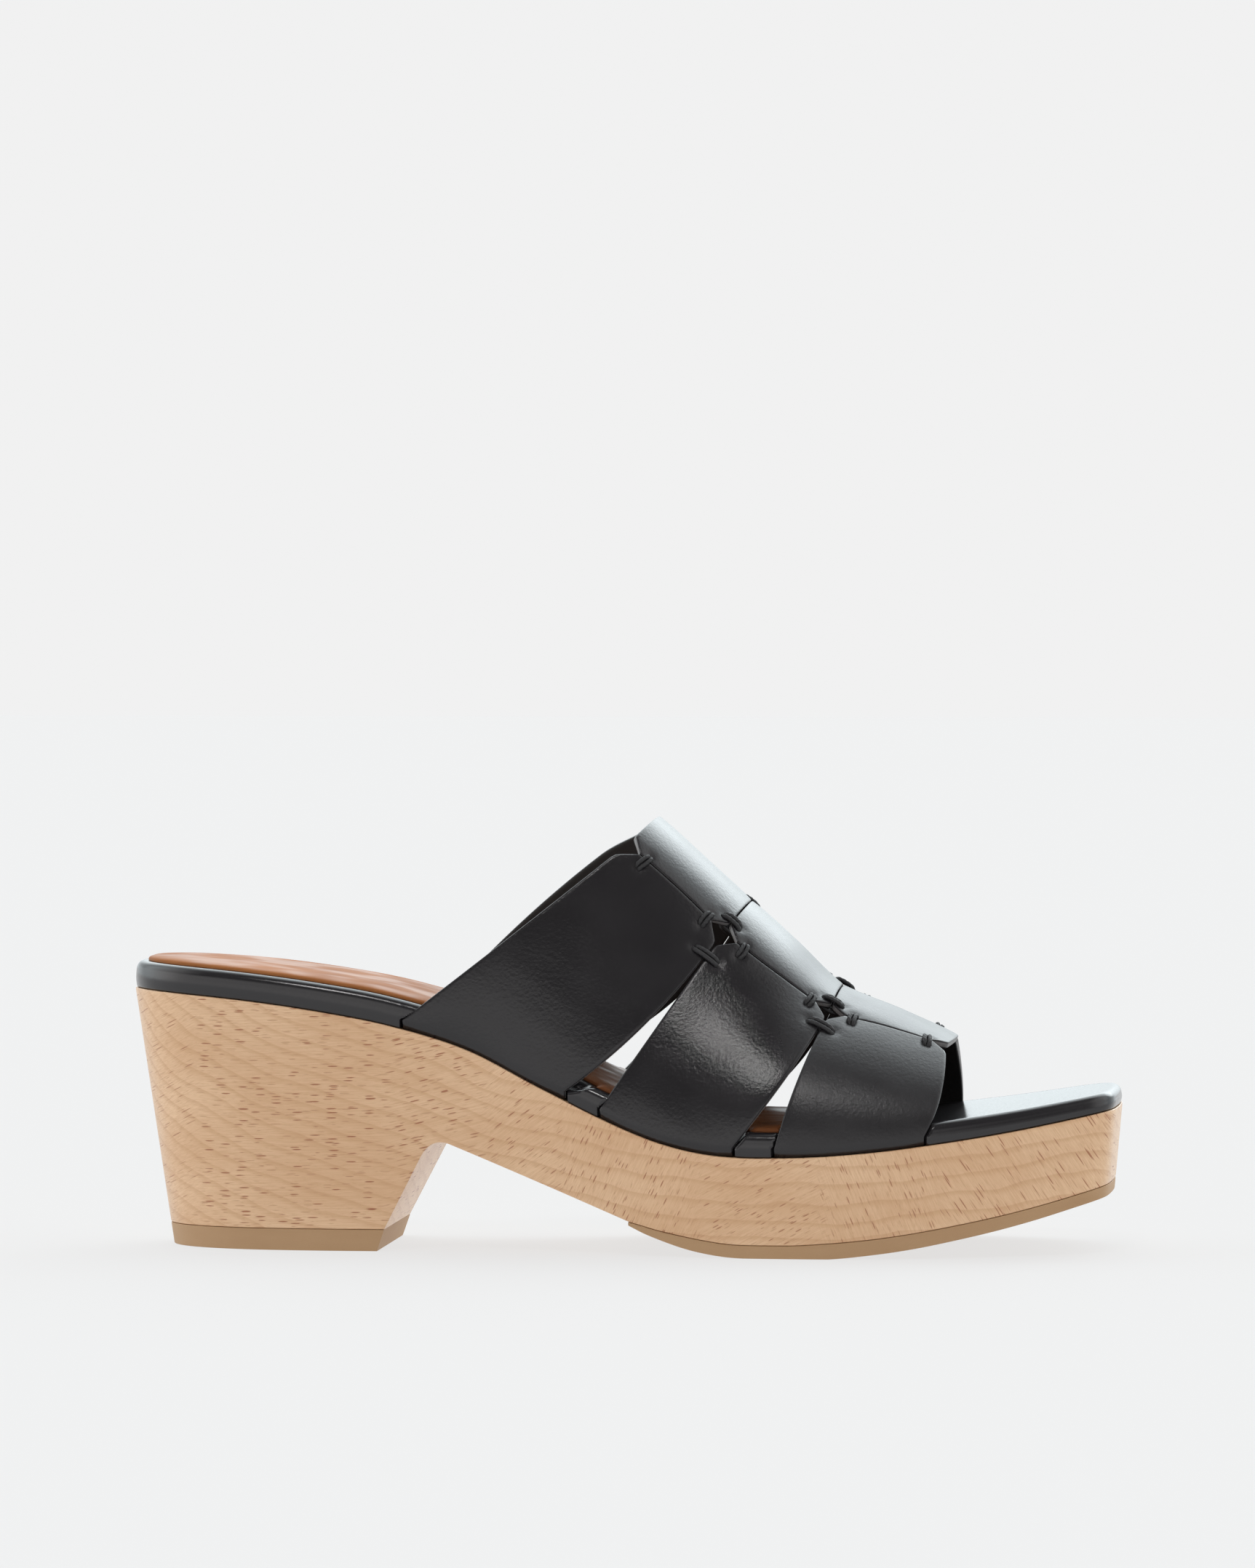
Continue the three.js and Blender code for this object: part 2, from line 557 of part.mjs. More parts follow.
function addSole() {
  const block = soleBlock();
  let wood = block.intersect(woodProfile());
  let topPiece = block.intersect(topPieceProfile());
  tacks.forEach((tack) => {
    wood = wood.subtract(solid(strapTack(tack, GAP)));
  });
  nails.forEach((place, n) => {
    const bore = solid(heelNail(place, GAP));
    wood = wood.subtract(bore);
    topPiece = topPiece.subtract(bore);
    add(`heel_nail_${n + 1}`, heelNail(place), MATERIALS.steel);
  });
  add('wood_sole', fromSolid(wood), MATERIALS.beech);
  add('heel_top_piece', fromSolid(topPiece), MATERIALS.rubber);
  add('forefoot_outsole', fromSolid(block.intersect(outsoleProfile())), MATERIALS.rubber);
}

// A patch with the holes its own ties and tacks pass through.
function addPatch(name, body) {
  ties.filter((tie) => tie.pieces.includes(name)).forEach((tie) => {
    body = body.subtract(solid(tieLink(tie, GAP)));
  });
  tacks.filter((tack) => tack.strap === name).forEach((tack) => {
    body = body.subtract(solid(strapTack(tack, GAP)));
  });
  add(name, fromSolid(body), MATERIALS.leather);
}

addSole();
addFootbed();
STRAPS.forEach((strap, k) => {
  addPatch(`vamp_panel_${strap}`, panelPatch(k));
  Object.keys(SIDES).forEach((side) => addPatch(`${side}_strap_${strap}`, strapPatch(side, k)));
});
ties.forEach((tie) => add(tie.name, tieLink(tie), MATERIALS.cord));
tacks.forEach((tack) => add(tack.name, strapTack(tack), MATERIALS.steel));

export default clog;
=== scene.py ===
"""Wooden clog: the looks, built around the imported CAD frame. Lengths are in millimetres
unless a comment says metres."""
import math

import bmesh
import bpy
import numpy as np
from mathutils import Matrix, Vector

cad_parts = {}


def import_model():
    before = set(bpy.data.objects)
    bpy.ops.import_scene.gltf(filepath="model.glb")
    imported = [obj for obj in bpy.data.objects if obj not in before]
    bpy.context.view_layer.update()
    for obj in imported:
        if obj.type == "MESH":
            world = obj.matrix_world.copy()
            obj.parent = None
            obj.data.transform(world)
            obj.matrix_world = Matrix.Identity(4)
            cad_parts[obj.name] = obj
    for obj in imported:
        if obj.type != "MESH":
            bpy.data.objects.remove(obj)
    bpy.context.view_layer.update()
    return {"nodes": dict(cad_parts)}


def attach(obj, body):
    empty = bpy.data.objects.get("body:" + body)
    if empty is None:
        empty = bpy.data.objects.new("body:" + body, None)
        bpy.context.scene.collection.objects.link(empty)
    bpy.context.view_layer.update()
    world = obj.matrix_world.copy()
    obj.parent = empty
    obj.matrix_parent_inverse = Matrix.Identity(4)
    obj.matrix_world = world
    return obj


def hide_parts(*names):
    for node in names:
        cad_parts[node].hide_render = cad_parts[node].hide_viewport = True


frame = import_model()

MM = 0.001  # Blender works in metres

# ---------------- the design's dimensions
HEEL_X, TOE_X = -124.6, 124.6
LATERAL_OUTLINE = [
    (HEEL_X, 0), (-123.7, 9), (-119, 18), (-110, 25), (-97, 29.5), (-78, 31.6), (-56, 32), (-35, 32.7),
    (-15, 35.2), (4, 39.2), (22, 43), (40, 45.2), (56, 45.4), (72, 43.5), (88, 39.3), (104, 33.6),
    (115, 29), (120.6, 26), (123.5, 21.5), (124.4, 12), (TOE_X, 0),
]
MEDIAL_OUTLINE = [
    (HEEL_X, 0), (-123.7, 9), (-119, 18), (-110, 25), (-97, 29.2), (-78, 30.6), (-56, 30), (-35, 30.2),
    (-15, 32.6), (4, 37.2), (22, 41.8), (40, 44.8), (56, 45.5), (72, 45), (88, 43), (102, 39.8),
    (112, 35.6), (119, 29.6), (122.8, 21), (124.2, 11), (TOE_X, 0),
]
TOP_EDGE = [
    (-130, 65.2), (-112, 64.2), (-93, 62.6), (-74, 60), (-56, 56.5), (-37, 50.7), (-19, 41.7), (-1, 33.2),
    (13, 28), (27, 25.4), (45, 25.2), (63, 26.4), (81, 28.6), (99, 31.4), (116.5, 34.8), (130, 37.8),
]
RIM_HEIGHT = [(-130, 6.9), (-90, 7), (-50, 7.3), (0, 7), (50, 6.1), (90, 5.4), (130, 4.6)]
# The walls of the sole draw in below its top edge: the share for each millimetre down, the lean at
# the two ends, and the x where each end's lean starts.
WALL_TAPER, HEEL_LEAN, TOE_LEAN = 0.0024, 0.15, 0.09
HEEL_LEAN_FROM, TOE_LEAN_FROM = -60, 95
TOP_PIECE = 5.2
HEEL_FRONT = (-60.3, -58.5)  # x of the heel top piece's front face, at the floor and at its top
BREAST = [(-58.4, 5.5), (-49.2, 23.4), (-46.4, 29), (-41.5, 27)]
WOOD_TREAD = [
    (4, 8.5), (13.4, 6.1), (28, 3.6), (38, 3.3), (48, 3.5), (66, 5.1), (85, 8.2), (104, 12.4), (131, 20.2),
]
TREAD = [
    (3.8, 7.6), (8, 5.6), (14.3, 3.3), (19, 1.9), (23.8, 0.9), (28.5, 0.25), (33, 0), (43, 0), (54, 0),
    (66, 1.2), (75.4, 2.6), (85, 4.5), (94.4, 6.6), (104, 9.1), (113.3, 11.9), (131, 17.4),
]
STRAP_CLEARANCE = 2.7  # how much further in the footbed's rim lies under a strap
LEATHER = 1.8
EDGE_GAP = 0.12  # from a patch's cut edge to the line where two patches meet
PATCH_LENGTH = 31.5
# The upper: the crest and the two seams that the centre patches end at, as (x, z), and the middles
# of the curves that the straps follow from the seams to the sole.
CREST = [(7.5, 108.2), (19.3, 97.2), (30.8, 86.6), (42.3, 76), (54, 65.4), (68.5, 59.2), (83.2, 52.8)]
SEAM = {
    "lateral": [
        (2.1, 102.2), (14.2, 91.6), (26.4, 80.2), (39.2, 70.2), (53, 60.9), (67.4, 56.7), (81.9, 52.4),
    ],
    "medial": [
        (4.2, 105), (16.4, 94.8), (28.8, 84.9), (41, 74.8), (53.2, 64.4), (68, 58.4), (82.2, 52.3),
    ],
}
SEAM_Y = {"lateral": -21, "medial": 19}
CROWN_Y = {"lateral": -11, "medial": 12}
SWELL = {
    "lateral": [(-25.6, -33, 79.7), (9.9, -38, 56.5), (46.5, -45, 48.1), (83.7, -41, 41.3)],
    "medial": [(-27.5, 34, 85.5), (13, 40, 59.5), (44.5, 46, 50.5), (82.5, 43, 41.5)],
}
STRAP_FEET = {
    "lateral": [(-53.6, -12.2), (-3.6, 30.4), (40.5, 78)],
    "medial": [(-52, -17), (-8, 26), (39, 82)],
}
PANEL_GIRTH = 46
SEAM_BLEND = 3.9  # beside a seam, how far both sides share a slope
# How far the patches' corners are cut back, and half the gap between two straps.
# The medial side's are less than in the CAD, so that no light comes through there.
CORNER_CUT = {"lateral": 3.9, "medial": 1.2}
STRAP_GAP = {"lateral": EDGE_GAP, "medial": 0.02}
CORNER_TIES = (0.2, 0.83)  # where a strap's two seam ties are, along its seam
FLANGE_BEND, FLANGE_WIDTH, FLANGE_THICK = 2.2, 11, 0.8
BEND_END = 0.3  # share of a strap's turned-in end that the bend takes up
FOOT_INSET, FOOT_GAP = 0.3, 0.1  # a strap's foot: in from the sole's edge, and above the wood
PULL_FADE = (0.35, 0.85)  # down a medial strap, where its edges' sideways move fades out
FLARE, FLARE_REACH, FLARE_START = 1.3, 0.16, 0.2  # of the far strap's rear edge
# Each kind of tie: its length, and how far its ends' middles lie from the seam or the gap.
SEAM_TIE = {"length": 5.3, "on_strap": 3, "on_panel": 1.4}
PANEL_TIE = {"length": 6.6, "from_seam": 5, "from_gap": 2}
STRAP_TIE = {"length": 8.2, "from_gap": 2, "below": (9, 8.6), "below_next": (7.8, 7.9)}
SIDES = {"lateral": -1, "medial": 1}
STRAPS = ("rear", "middle", "front")


# ---------------- curves
def value_at(stations, x):
    """Smooth curve through (x, value) stations, read at any x."""
    xs, vs = np.array(stations, float).T
    x = np.asarray(x, float)
    last = len(xs) - 1
    i = np.searchsorted(xs[1:-1], x, side="left")
    before, after = np.maximum(i - 1, 0), np.minimum(i + 2, last)
    m0 = (vs[i + 1] - vs[before]) / (xs[i + 1] - xs[before])
    m1 = (vs[after] - vs[i]) / (xs[after] - xs[i])
    span = xs[i + 1] - xs[i]
    t = np.clip((x - xs[i]) / span, 0, 1)
    ease = t * t * (3 - 2 * t)
    return vs[i] * (1 - ease) + vs[i + 1] * ease + t * (1 - t) * span * (m0 * (1 - t) - m1 * t)


def smoothstep(x, low, high):
    t = np.clip((np.asarray(x, float) - low) / (high - low), 0, 1)
    return t * t * (3 - 2 * t)


def catmull_rom(a, b, c, d, w):
    """The curve from b to c, read at w from 0 to 1."""
    return 0.5 * (2 * b + (c - a) * w + (2 * a - 5 * b + 4 * c - d) * w ** 2
                  + (3 * b - a - 3 * c + d) * w ** 3)


class Curve:
    """Catmull-Rom curve through points, read at any array of places from 0 to 1."""

    def __init__(self, points):
        p = np.array(points, float)
        self.p = np.vstack([2 * p[0] - p[1], p, 2 * p[-1] - p[-2]])
        self.count = len(p) - 1

    def __call__(self, t):
        s = np.clip(t, 0, 1) * self.count
        i = np.minimum(np.asarray(s).astype(int), self.count - 1)
        w = np.asarray(s - i)[..., None]
        return catmull_rom(*(self.p[i + n] for n in range(4)), w)


def top_edge(x):
    return value_at(TOP_EDGE, x)


def rim_height(x):
    return value_at(RIM_HEIGHT, x)


def wood_under(x):
    """Underside of the wood: heel, breast, rounded arch, slope and tread."""
    x = np.asarray(x, float)
    (x0, z0), (x1, z1), (x2, z2), (x3, z3) = BREAST
    a, b = x1 - 2 * x2 + x3, 2 * (x2 - x1)
    t = np.clip((-b + np.sqrt(np.maximum(b * b - 4 * a * (x1 - x), 0))) / (2 * a), 0, 1)
    arch = (1 - t) ** 2 * z1 + 2 * t * (1 - t) * z2 + t * t * z3
    line = np.interp(x, [x0, x1], [z0, z1])
    slope = np.interp(x, [x3, WOOD_TREAD[0][0]], [z3, WOOD_TREAD[0][1]])
    tread = value_at(WOOD_TREAD, x)
    return np.select([x <= x1, x <= x3, x <= WOOD_TREAD[0][0]], [line, arch, slope], tread)


def tread_bottom(x):
    return np.maximum(value_at(TREAD, x), 0)


# ---------------- plan outline
OUTLINE_STEPS = 60  # fine steps between two outline points


def dense_outline(points, sign):
    """The outline of one side as a fine polyline, with its outward normals."""
    p = np.array(points, float)
    p[:, 1] *= sign
    padded = np.vstack([p[1] * (1, -1), p, p[-2] * (1, -1)])
    w = np.linspace(0, 1, OUTLINE_STEPS, endpoint=False)[:, None]
    rows = [catmull_rom(*padded[i:i + 4], w) for i in range(len(p) - 1)]
    line = np.vstack(rows + [p[-1:]])
    tangent = np.gradient(line, axis=0)
    tangent /= np.linalg.norm(tangent, axis=1)[:, None]
    normal = np.stack([-tangent[:, 1], tangent[:, 0]], 1) * sign
    normal[0], normal[-1] = (-1, 0), (1, 0)
    return line, normal


END_X = 108  # the heel and the toe are round beyond this x
HEEL_STEPS, TOE_STEPS = 20, 30
STRAPS_FROM, STRAPS_TO = -70, 96
SPARSE, DENSE = 2.0, 0.5
MIDDLE_X = np.unique(np.concatenate([
    np.arange(-END_X, STRAPS_FROM, SPARSE), np.arange(STRAPS_FROM, STRAPS_TO, DENSE),
    np.arange(STRAPS_TO, END_X, SPARSE), HEEL_FRONT, [BREAST[0][0], TREAD[0][0], END_X],
]))


def stations(side):
    """Matching places down both sides: by arc length round the heel and toe, by x between."""
    sign = SIDES[side]
    line, normal = dense_outline(LATERAL_OUTLINE if sign < 0 else MEDIAL_OUTLINE, sign)
    length = np.concatenate([[0], np.cumsum(np.linalg.norm(np.diff(line, axis=0), axis=1))])
    at_x = lambda x: np.interp(x, line[:, 0], length)
    spots = np.concatenate([
        np.linspace(0, at_x(-END_X), HEEL_STEPS, endpoint=False),
        at_x(MIDDLE_X),
        np.linspace(at_x(END_X), length[-1], TOE_STEPS + 1)[1:],
    ])
    place = np.stack([np.interp(spots, length, line[:, i]) for i in (0, 1)], 1)
    out = np.stack([np.interp(spots, length, normal[:, i]) for i in (0, 1)], 1)
    return place, out / np.linalg.norm(out, axis=1)[:, None]


EDGE = {side: stations(side) for side in SIDES}
EDGE_COUNT = len(EDGE["lateral"][0])


def half_width(side, x):
    return value_at(LATERAL_OUTLINE if side == "lateral" else MEDIAL_OUTLINE, x)


# The step where the footbed's rim goes in under a strap: its reach to both sides of the strap's edge,
# and its longer reach past the front edge.
STEP, STEP_FRONT = 0.3, 0.7


def foot_slant(side, k, s):
    """How far a strap's edge moves along x for each millimetre up, just above its foot."""
    low, high = strap_point(side, k, s, 1.0), strap_point(side, k, s, 0.9)
    return (high[0] - low[0]) / (high[2] - low[2])


def covered(side, x, height):
    """1 under a strap, 0 where the footbed's rim shows, at a height above the sole's edge."""
    total = 0
    for k, feet in enumerate(STRAP_FEET[side]):
        up = np.maximum(height - FLANGE_BEND, 0)
        rear, front = (feet[s] + foot_slant(side, k, s) * up for s in (0, 1))
        before = smoothstep(x, rear - STEP, rear + STEP)
        after = 1 - smoothstep(x, front - STEP, front + STEP_FRONT)
        total = total + before * after
    return np.minimum(total, 1)


def lean(x, y, z, edge_z):
    """The walls of the sole lean in below its top edge."""
    drop = edge_z - z
    heel = HEEL_LEAN * smoothstep(-x, -HEEL_LEAN_FROM, -HEEL_X)
    toe = TOE_LEAN * smoothstep(x, TOE_LEAN_FROM, TOE_X)
    return x + drop * (heel - toe), y * (1 - WALL_TAPER * drop)


# ---------------- mesh building
WELD, TINY = 1e-6, 1e-7  # in metres: points closer than this are one, edges shorter than this go


def sharpen(mesh, angle):
    """Smooth shading, with edges sharper than the angle kept crisp."""
    bm = bmesh.new()
    bm.from_mesh(mesh)
    bmesh.ops.remove_doubles(bm, verts=bm.verts, dist=WELD)
    bmesh.ops.dissolve_degenerate(bm, dist=TINY, edges=bm.edges)
    bmesh.ops.recalc_face_normals(bm, faces=bm.faces)
    for face in bm.faces:
        face.smooth = True
    for edge in bm.edges:
        edge.smooth = len(edge.link_faces) == 2 and edge.calc_face_angle(0) < angle
    bm.to_mesh(mesh)
    bm.free()


def piece(name, verts, faces, materials, node, angle, face_material=None):
    mesh = bpy.data.meshes.new(name)
    mesh.from_pydata((np.asarray(verts, float) * MM).tolist(), [], [tuple(map(int, f)) for f in faces])
    for material in materials:
        mesh.materials.append(material)
    if face_material is not None:
        mesh.polygons.foreach_set("material_index", face_material)
    mesh.update()
    sharpen(mesh, angle)
    obj = bpy.data.objects.new(name, mesh)
    bpy.context.scene.collection.objects.link(obj)
    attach(obj, "root")
    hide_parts(node)
    return obj


def ring_loft(rings, first=0, last=EDGE_COUNT - 1):
    """Closed loft of rings round the shoe. A ring is ring(side) -> (points down that side)."""
    closed_heel, closed_toe = first == 0, last == EDGE_COUNT - 1
    n = last - first + 1
    verts, loops = [], []
    for ring in rings:
        lateral = ring("lateral")[first:last + 1]
        medial = ring("medial")[first:last + 1]
        base = len(verts)
        verts.extend(lateral)
        verts.extend(medial)
        left = [base + k for k in range(n)]
        right = [base + n + k for k in range(n)]
        if closed_heel:
            right[0] = left[0]
        if closed_toe:
            right[-1] = left[-1]
        loops.append((left, right))
    faces = []
    for (l0, r0), (l1, r1) in zip(loops, loops[1:]):
        round0 = l0 + (r0[::-1][1:] if closed_toe else r0[::-1])
        round1 = l1 + (r1[::-1][1:] if closed_toe else r1[::-1])
        if closed_heel:
            round0, round1 = round0[:-1], round1[:-1]
        m = len(round0)
        faces += [(round0[i], round0[(i + 1) % m], round1[(i + 1) % m], round1[i]) for i in range(m)]
    for left, right in (loops[0], loops[-1]):
        for k in range(n - 1):
            faces.append(tuple(dict.fromkeys((left[k], left[k + 1], right[k + 1], right[k]))))
    return verts, faces


def station_of(x):
    return int(np.argmin(np.abs(EDGE["lateral"][0][:, 0] - x)))


# ---------------- camera, floor and light
CAMERA_AT = (236.5, -2384.4, 186.2)
CAMERA_YAW, CAMERA_PITCH = math.radians(5.665), math.radians(1.671)
CAMERA_LENS, SENSOR = 218.4, 36
CAMERA_FAR = 60  # in metres


def camera():
    data = bpy.data.cameras.new("camera")
    data.sensor_fit = "VERTICAL"
    data.sensor_height = SENSOR
    data.lens = CAMERA_LENS
    data.clip_end = CAMERA_FAR
    obj = bpy.data.objects.new("camera", data)
    obj.location = Vector(CAMERA_AT) * MM
    obj.rotation_euler = (math.pi / 2 - CAMERA_PITCH, 0, CAMERA_YAW)
    bpy.context.scene.collection.objects.link(obj)
    bpy.context.scene.camera = obj


PALE = 0.879  # the backdrop's brightness

# Soft lights of the studio: azimuth from straight behind the shoe towards its toe, elevation, the angles
# where the light is full and where it has faded out, and its strength.
SOFT_LIGHTS = [
    (8, 44, 14, 44, 2.4),
    (26, 28, 8, 22, 1.4),
    (185, 53, 1, 8, 17.0),
    (-85, 25, 8, 40, 1.2),
    (98, 30, 8, 40, 1.0),
]
CAMERA_SIDE, FAR_SIDE = 0.22, 0.9  # the room's brightness behind the camera and behind the shoe
SIDES_MEET = (-0.25, 0.3)  # the direction's Y where the one turns into the other
HORIZON, HORIZON_FADE = 1.25, (0.10, 0.42)  # light low all round, and the direction's Z where it fades
TOE_SHARE, TOE_FADE = 0.4, (0.2, 0.6)  # the share of it left ahead of the toe, and the X there
WARM_LIGHT, COOL_LIGHT = (1, 0.985, 0.975, 1), (0.90, 0.975, 1, 1)
TINTS_MEET = (-0.3, 0.5)  # the direction's Y where the warm light turns into the cool


def node_tree(owner):
    owner.use_nodes = True
    owner.node_tree.nodes.clear()
    return owner.node_tree


def world():
    """A white room with soft lights, darker behind the camera so that black leather keeps its depth."""
    made = bpy.data.worlds.new("studio")
    bpy.context.scene.world = made
    t = Nodes(node_tree(made))
    direction = t.add("TexCoord").outputs["Generated"]
    parts = t.add("SeparateXYZ", {"Vector": direction}).outputs
    room = t.ramp(parts["Y"], *SIDES_MEET, CAMERA_SIDE, FAR_SIDE)
    horizon = t.ramp(parts["Z"], *HORIZON_FADE, HORIZON, 0.0)
    horizon = t.times(horizon, t.ramp(parts["X"], *TOE_FADE, 1.0, TOE_SHARE))
    level = t.math("MAXIMUM", room, horizon)
    for azimuth, elevation, full, faded, strength in SOFT_LIGHTS:
        a, e = math.radians(azimuth), math.radians(elevation)
        centre = (math.sin(a) * math.cos(e), math.cos(a) * math.cos(e), math.sin(e))
        product = t.add("VectorMath", {0: direction, 1: centre}, operation="DOT_PRODUCT")
        edge, core = math.cos(math.radians(faded)), math.cos(math.radians(full))
        glow = t.ramp(product.outputs["Value"], edge, core, 0.0, strength)
        level = t.plus(level, glow)
    tint = t.mix(t.ramp(parts["Y"], *TINTS_MEET), WARM_LIGHT, COOL_LIGHT)
    lit = t.add("Background", {"Color": tint, "Strength": level}).outputs[0]
    seen = t.add("Background", {"Color": (PALE, PALE, PALE, 1), "Strength": 1.0}).outputs[0]
    camera_ray = t.add("LightPath").outputs["Is Camera Ray"]
    mixed = t.add("MixShader", {0: camera_ray, 1: lit, 2: seen}).outputs[0]
    t.add("OutputWorld", {"Surface": mixed})


FLOOR_HALF = 6.0  # in metres
FLOOR_SHARE, FLOOR_GLOW = 0.12, 0.71  # how much light the floor reflects, and how much it gives


def floor():
    corners = [(x * FLOOR_HALF, y * FLOOR_HALF, 0) for x, y in ((-1, -1), (1, -1), (1, 1), (-1, 1))]
    mesh = bpy.data.meshes.new("floor")
    mesh.from_pydata(corners, [], [(0, 1, 2, 3)])
    material = bpy.data.materials.new("floor")
    t = Nodes(node_tree(material))
    pale = (FLOOR_SHARE, FLOOR_SHARE, FLOOR_SHARE, 1)
    diffuse = t.add("BsdfDiffuse", {"Color": pale}).outputs[0]
    glow = t.add("Emission", {"Color": (1, 1, 1, 1), "Strength": FLOOR_GLOW}).outputs[0]
    both = t.add("AddShader", {0: diffuse, 1: glow}).outputs[0]
    t.add("OutputMaterial", {"Surface": both})
    mesh.materials.append(material)
    obj = bpy.data.objects.new("floor", mesh)
    bpy.context.scene.collection.objects.link(obj)


# ---------------- node helpers
class Nodes:
    """Short ways to add shader nodes to a tree."""

    def __init__(self, tree):
        self.tree = tree

    def add(self, kind, inputs=None, **settings):
        node = self.tree.nodes.new("ShaderNode" + kind)
        for key, value in settings.items():
            setattr(node, key, value)
        for key, value in (inputs or {}).items():
            socket = node.inputs[key]
            if isinstance(value, bpy.types.NodeSocket):
                self.tree.links.new(value, socket)
            else:
                socket.default_value = value
        return node

    def math(self, operation, a, b=0.0):
        return self.add("Math", {0: a, 1: b}, operation=operation).outputs[0]

    def times(self, a, b):
        return self.math("MULTIPLY", a, b)

    def plus(self, a, b):
        return self.math("ADD", a, b)

    def ramp(self, value, low, high, out_low=0.0, out_high=1.0, kind="SMOOTHSTEP"):
        node = self.add("MapRange", {0: value, 1: low, 2: high, 3: out_low, 4: out_high})
        node.interpolation_type = kind
        return node.outputs[0]

    def mix(self, share, a, b):
        """Colours a and b mixed. A Mix node's colours are its inputs 6 and 7 and its output 2."""
        node = self.add("Mix", data_type="RGBA")
        for index, value in ((0, share), (6, a), (7, b)):
            if isinstance(value, bpy.types.NodeSocket):
                self.tree.links.new(value, node.inputs[index])
            else:
                node.inputs[index].default_value = value
        return node.outputs[2]

    def place(self, scale=(1, 1, 1), turn=(0, 0, 0), shift=(0, 0, 0)):
        """Object coordinates in millimetres, turned and then stretched."""
        point = self.add("TexCoord").outputs["Object"]
        turned = self.add("Mapping", {
            "Vector": point, "Rotation": [math.radians(a) for a in turn], "Scale": (1 / MM, 1 / MM, 1 / MM),
        }).outputs[0]
        stretch = {"Vector": turned, "Scale": scale, "Location": shift}
        return self.add("Mapping", stretch).outputs[0]

    def even(self, scale):
        return self.place((scale, scale, scale))

    def noise(self, vector, detail=3.0, roughness=0.5):
        return self.add("TexNoise", {
            "Vector": vector, "Scale": 1.0, "Detail": detail, "Roughness": roughness,
        }).outputs[0]

    def voronoi(self, vector, **settings):
        return self.add("TexVoronoi", {"Vector": vector, "Scale": 1.0}, **settings).outputs

    def along_x(self):
        return self.add("SeparateXYZ", {"Vector": self.place()}).outputs["X"]

    def bump(self, height, strength, distance_mm, normal=None):
        inputs = {"Height": height, "Strength": strength, "Distance": distance_mm * MM}
        if normal is not None:
            inputs["Normal"] = normal
        return self.add("Bump", inputs).outputs[0]

    def curve(self, value, points):
        """A smooth curve through (x, value) points."""
        xs, vs = zip(*points)
        node = self.add("FloatCurve")
        curve = node.mapping.curves[0]
        inner = [((x - xs[0]) / (xs[-1] - xs[0]), (v - min(vs)) / (max(vs) - min(vs))) for x, v in points]
        curve.points[0].location, curve.points[1].location = inner[0], inner[-1]
        for place in inner[1:-1]:
            curve.points.new(*place)
        node.mapping.update()
        self.tree.links.new(self.ramp(value, xs[0], xs[-1], kind="LINEAR"), node.inputs["Value"])
        return self.ramp(node.outputs[0], 0.0, 1.0, min(vs), max(vs), kind="LINEAR")


def rgb(r, g, b):
    """sRGB 0-255 as linear."""
    linear = [((c / 255 + 0.055) / 1.055) ** 2.4 if c > 10 else c / 255 / 12.92 for c in (r, g, b)]
    return (*linear, 1)


def shader(name, build):
    """A material whose principled shader gets what build(nodes) returns."""
    material = bpy.data.materials.new(name)
    t = Nodes(node_tree(material))
    surface = t.add("BsdfPrincipled", build(t)).outputs[0]
    t.add("OutputMaterial", {"Surface": surface})
    return material


# ---------------- materials
def looks(tone, rough, normal, specular=0.5):
    return {"Base Color": tone, "Roughness": rough, "Normal": normal, "Specular IOR Level": specular}


# Ring lines of the beech in side view: how far they have sunk at each x.
RING_SINK = [
    (-130, 72.7), (-120, 45.7), (-112, 36.1), (-100, 28.3), (-85, 21.2), (-65, 14.6), (-45, 7), (-20, -2),
    (5, -8), (30, -11), (55, -11), (80, -8.5), (105, -4), (130, 3),
]
# Ray flecks: stretch of x, slope in degrees, length and thickness in mm, how dark.
FLECKS = [
    ((-140, -104), 27, 3.6, 0.42, 0.75),
    ((-110, -54), 1, 2.7, 0.5, 1.0),
    ((-60, -30), 13, 2.6, 0.5, 1.0),
    ((-36, -10), 36, 2.4, 0.5, 0.9),
    ((-16, 24), 64, 2.2, 0.5, 0.85),
    ((18, 56), 28, 2.0, 0.5, 0.8),
    ((50, 84), 112, 2.4, 0.5, 0.8),
    ((78, 140), 123, 4.0, 0.42, 0.9),
]
FLECK_FADE = 6  # over this much x one stretch fades into the next
RING_WOBBLE, RING_TILT = 9.0, 0.22
RING_SPACING, FINE_SPACING = 4.2, 1.37
BEECH_LIGHT, BEECH_WARM, BEECH_RING = rgb(229, 194, 156), rgb(217, 178, 138), rgb(188, 138, 96)
BEECH_PORE, BEECH_FLECK = rgb(176, 124, 86), rgb(150, 82, 46)


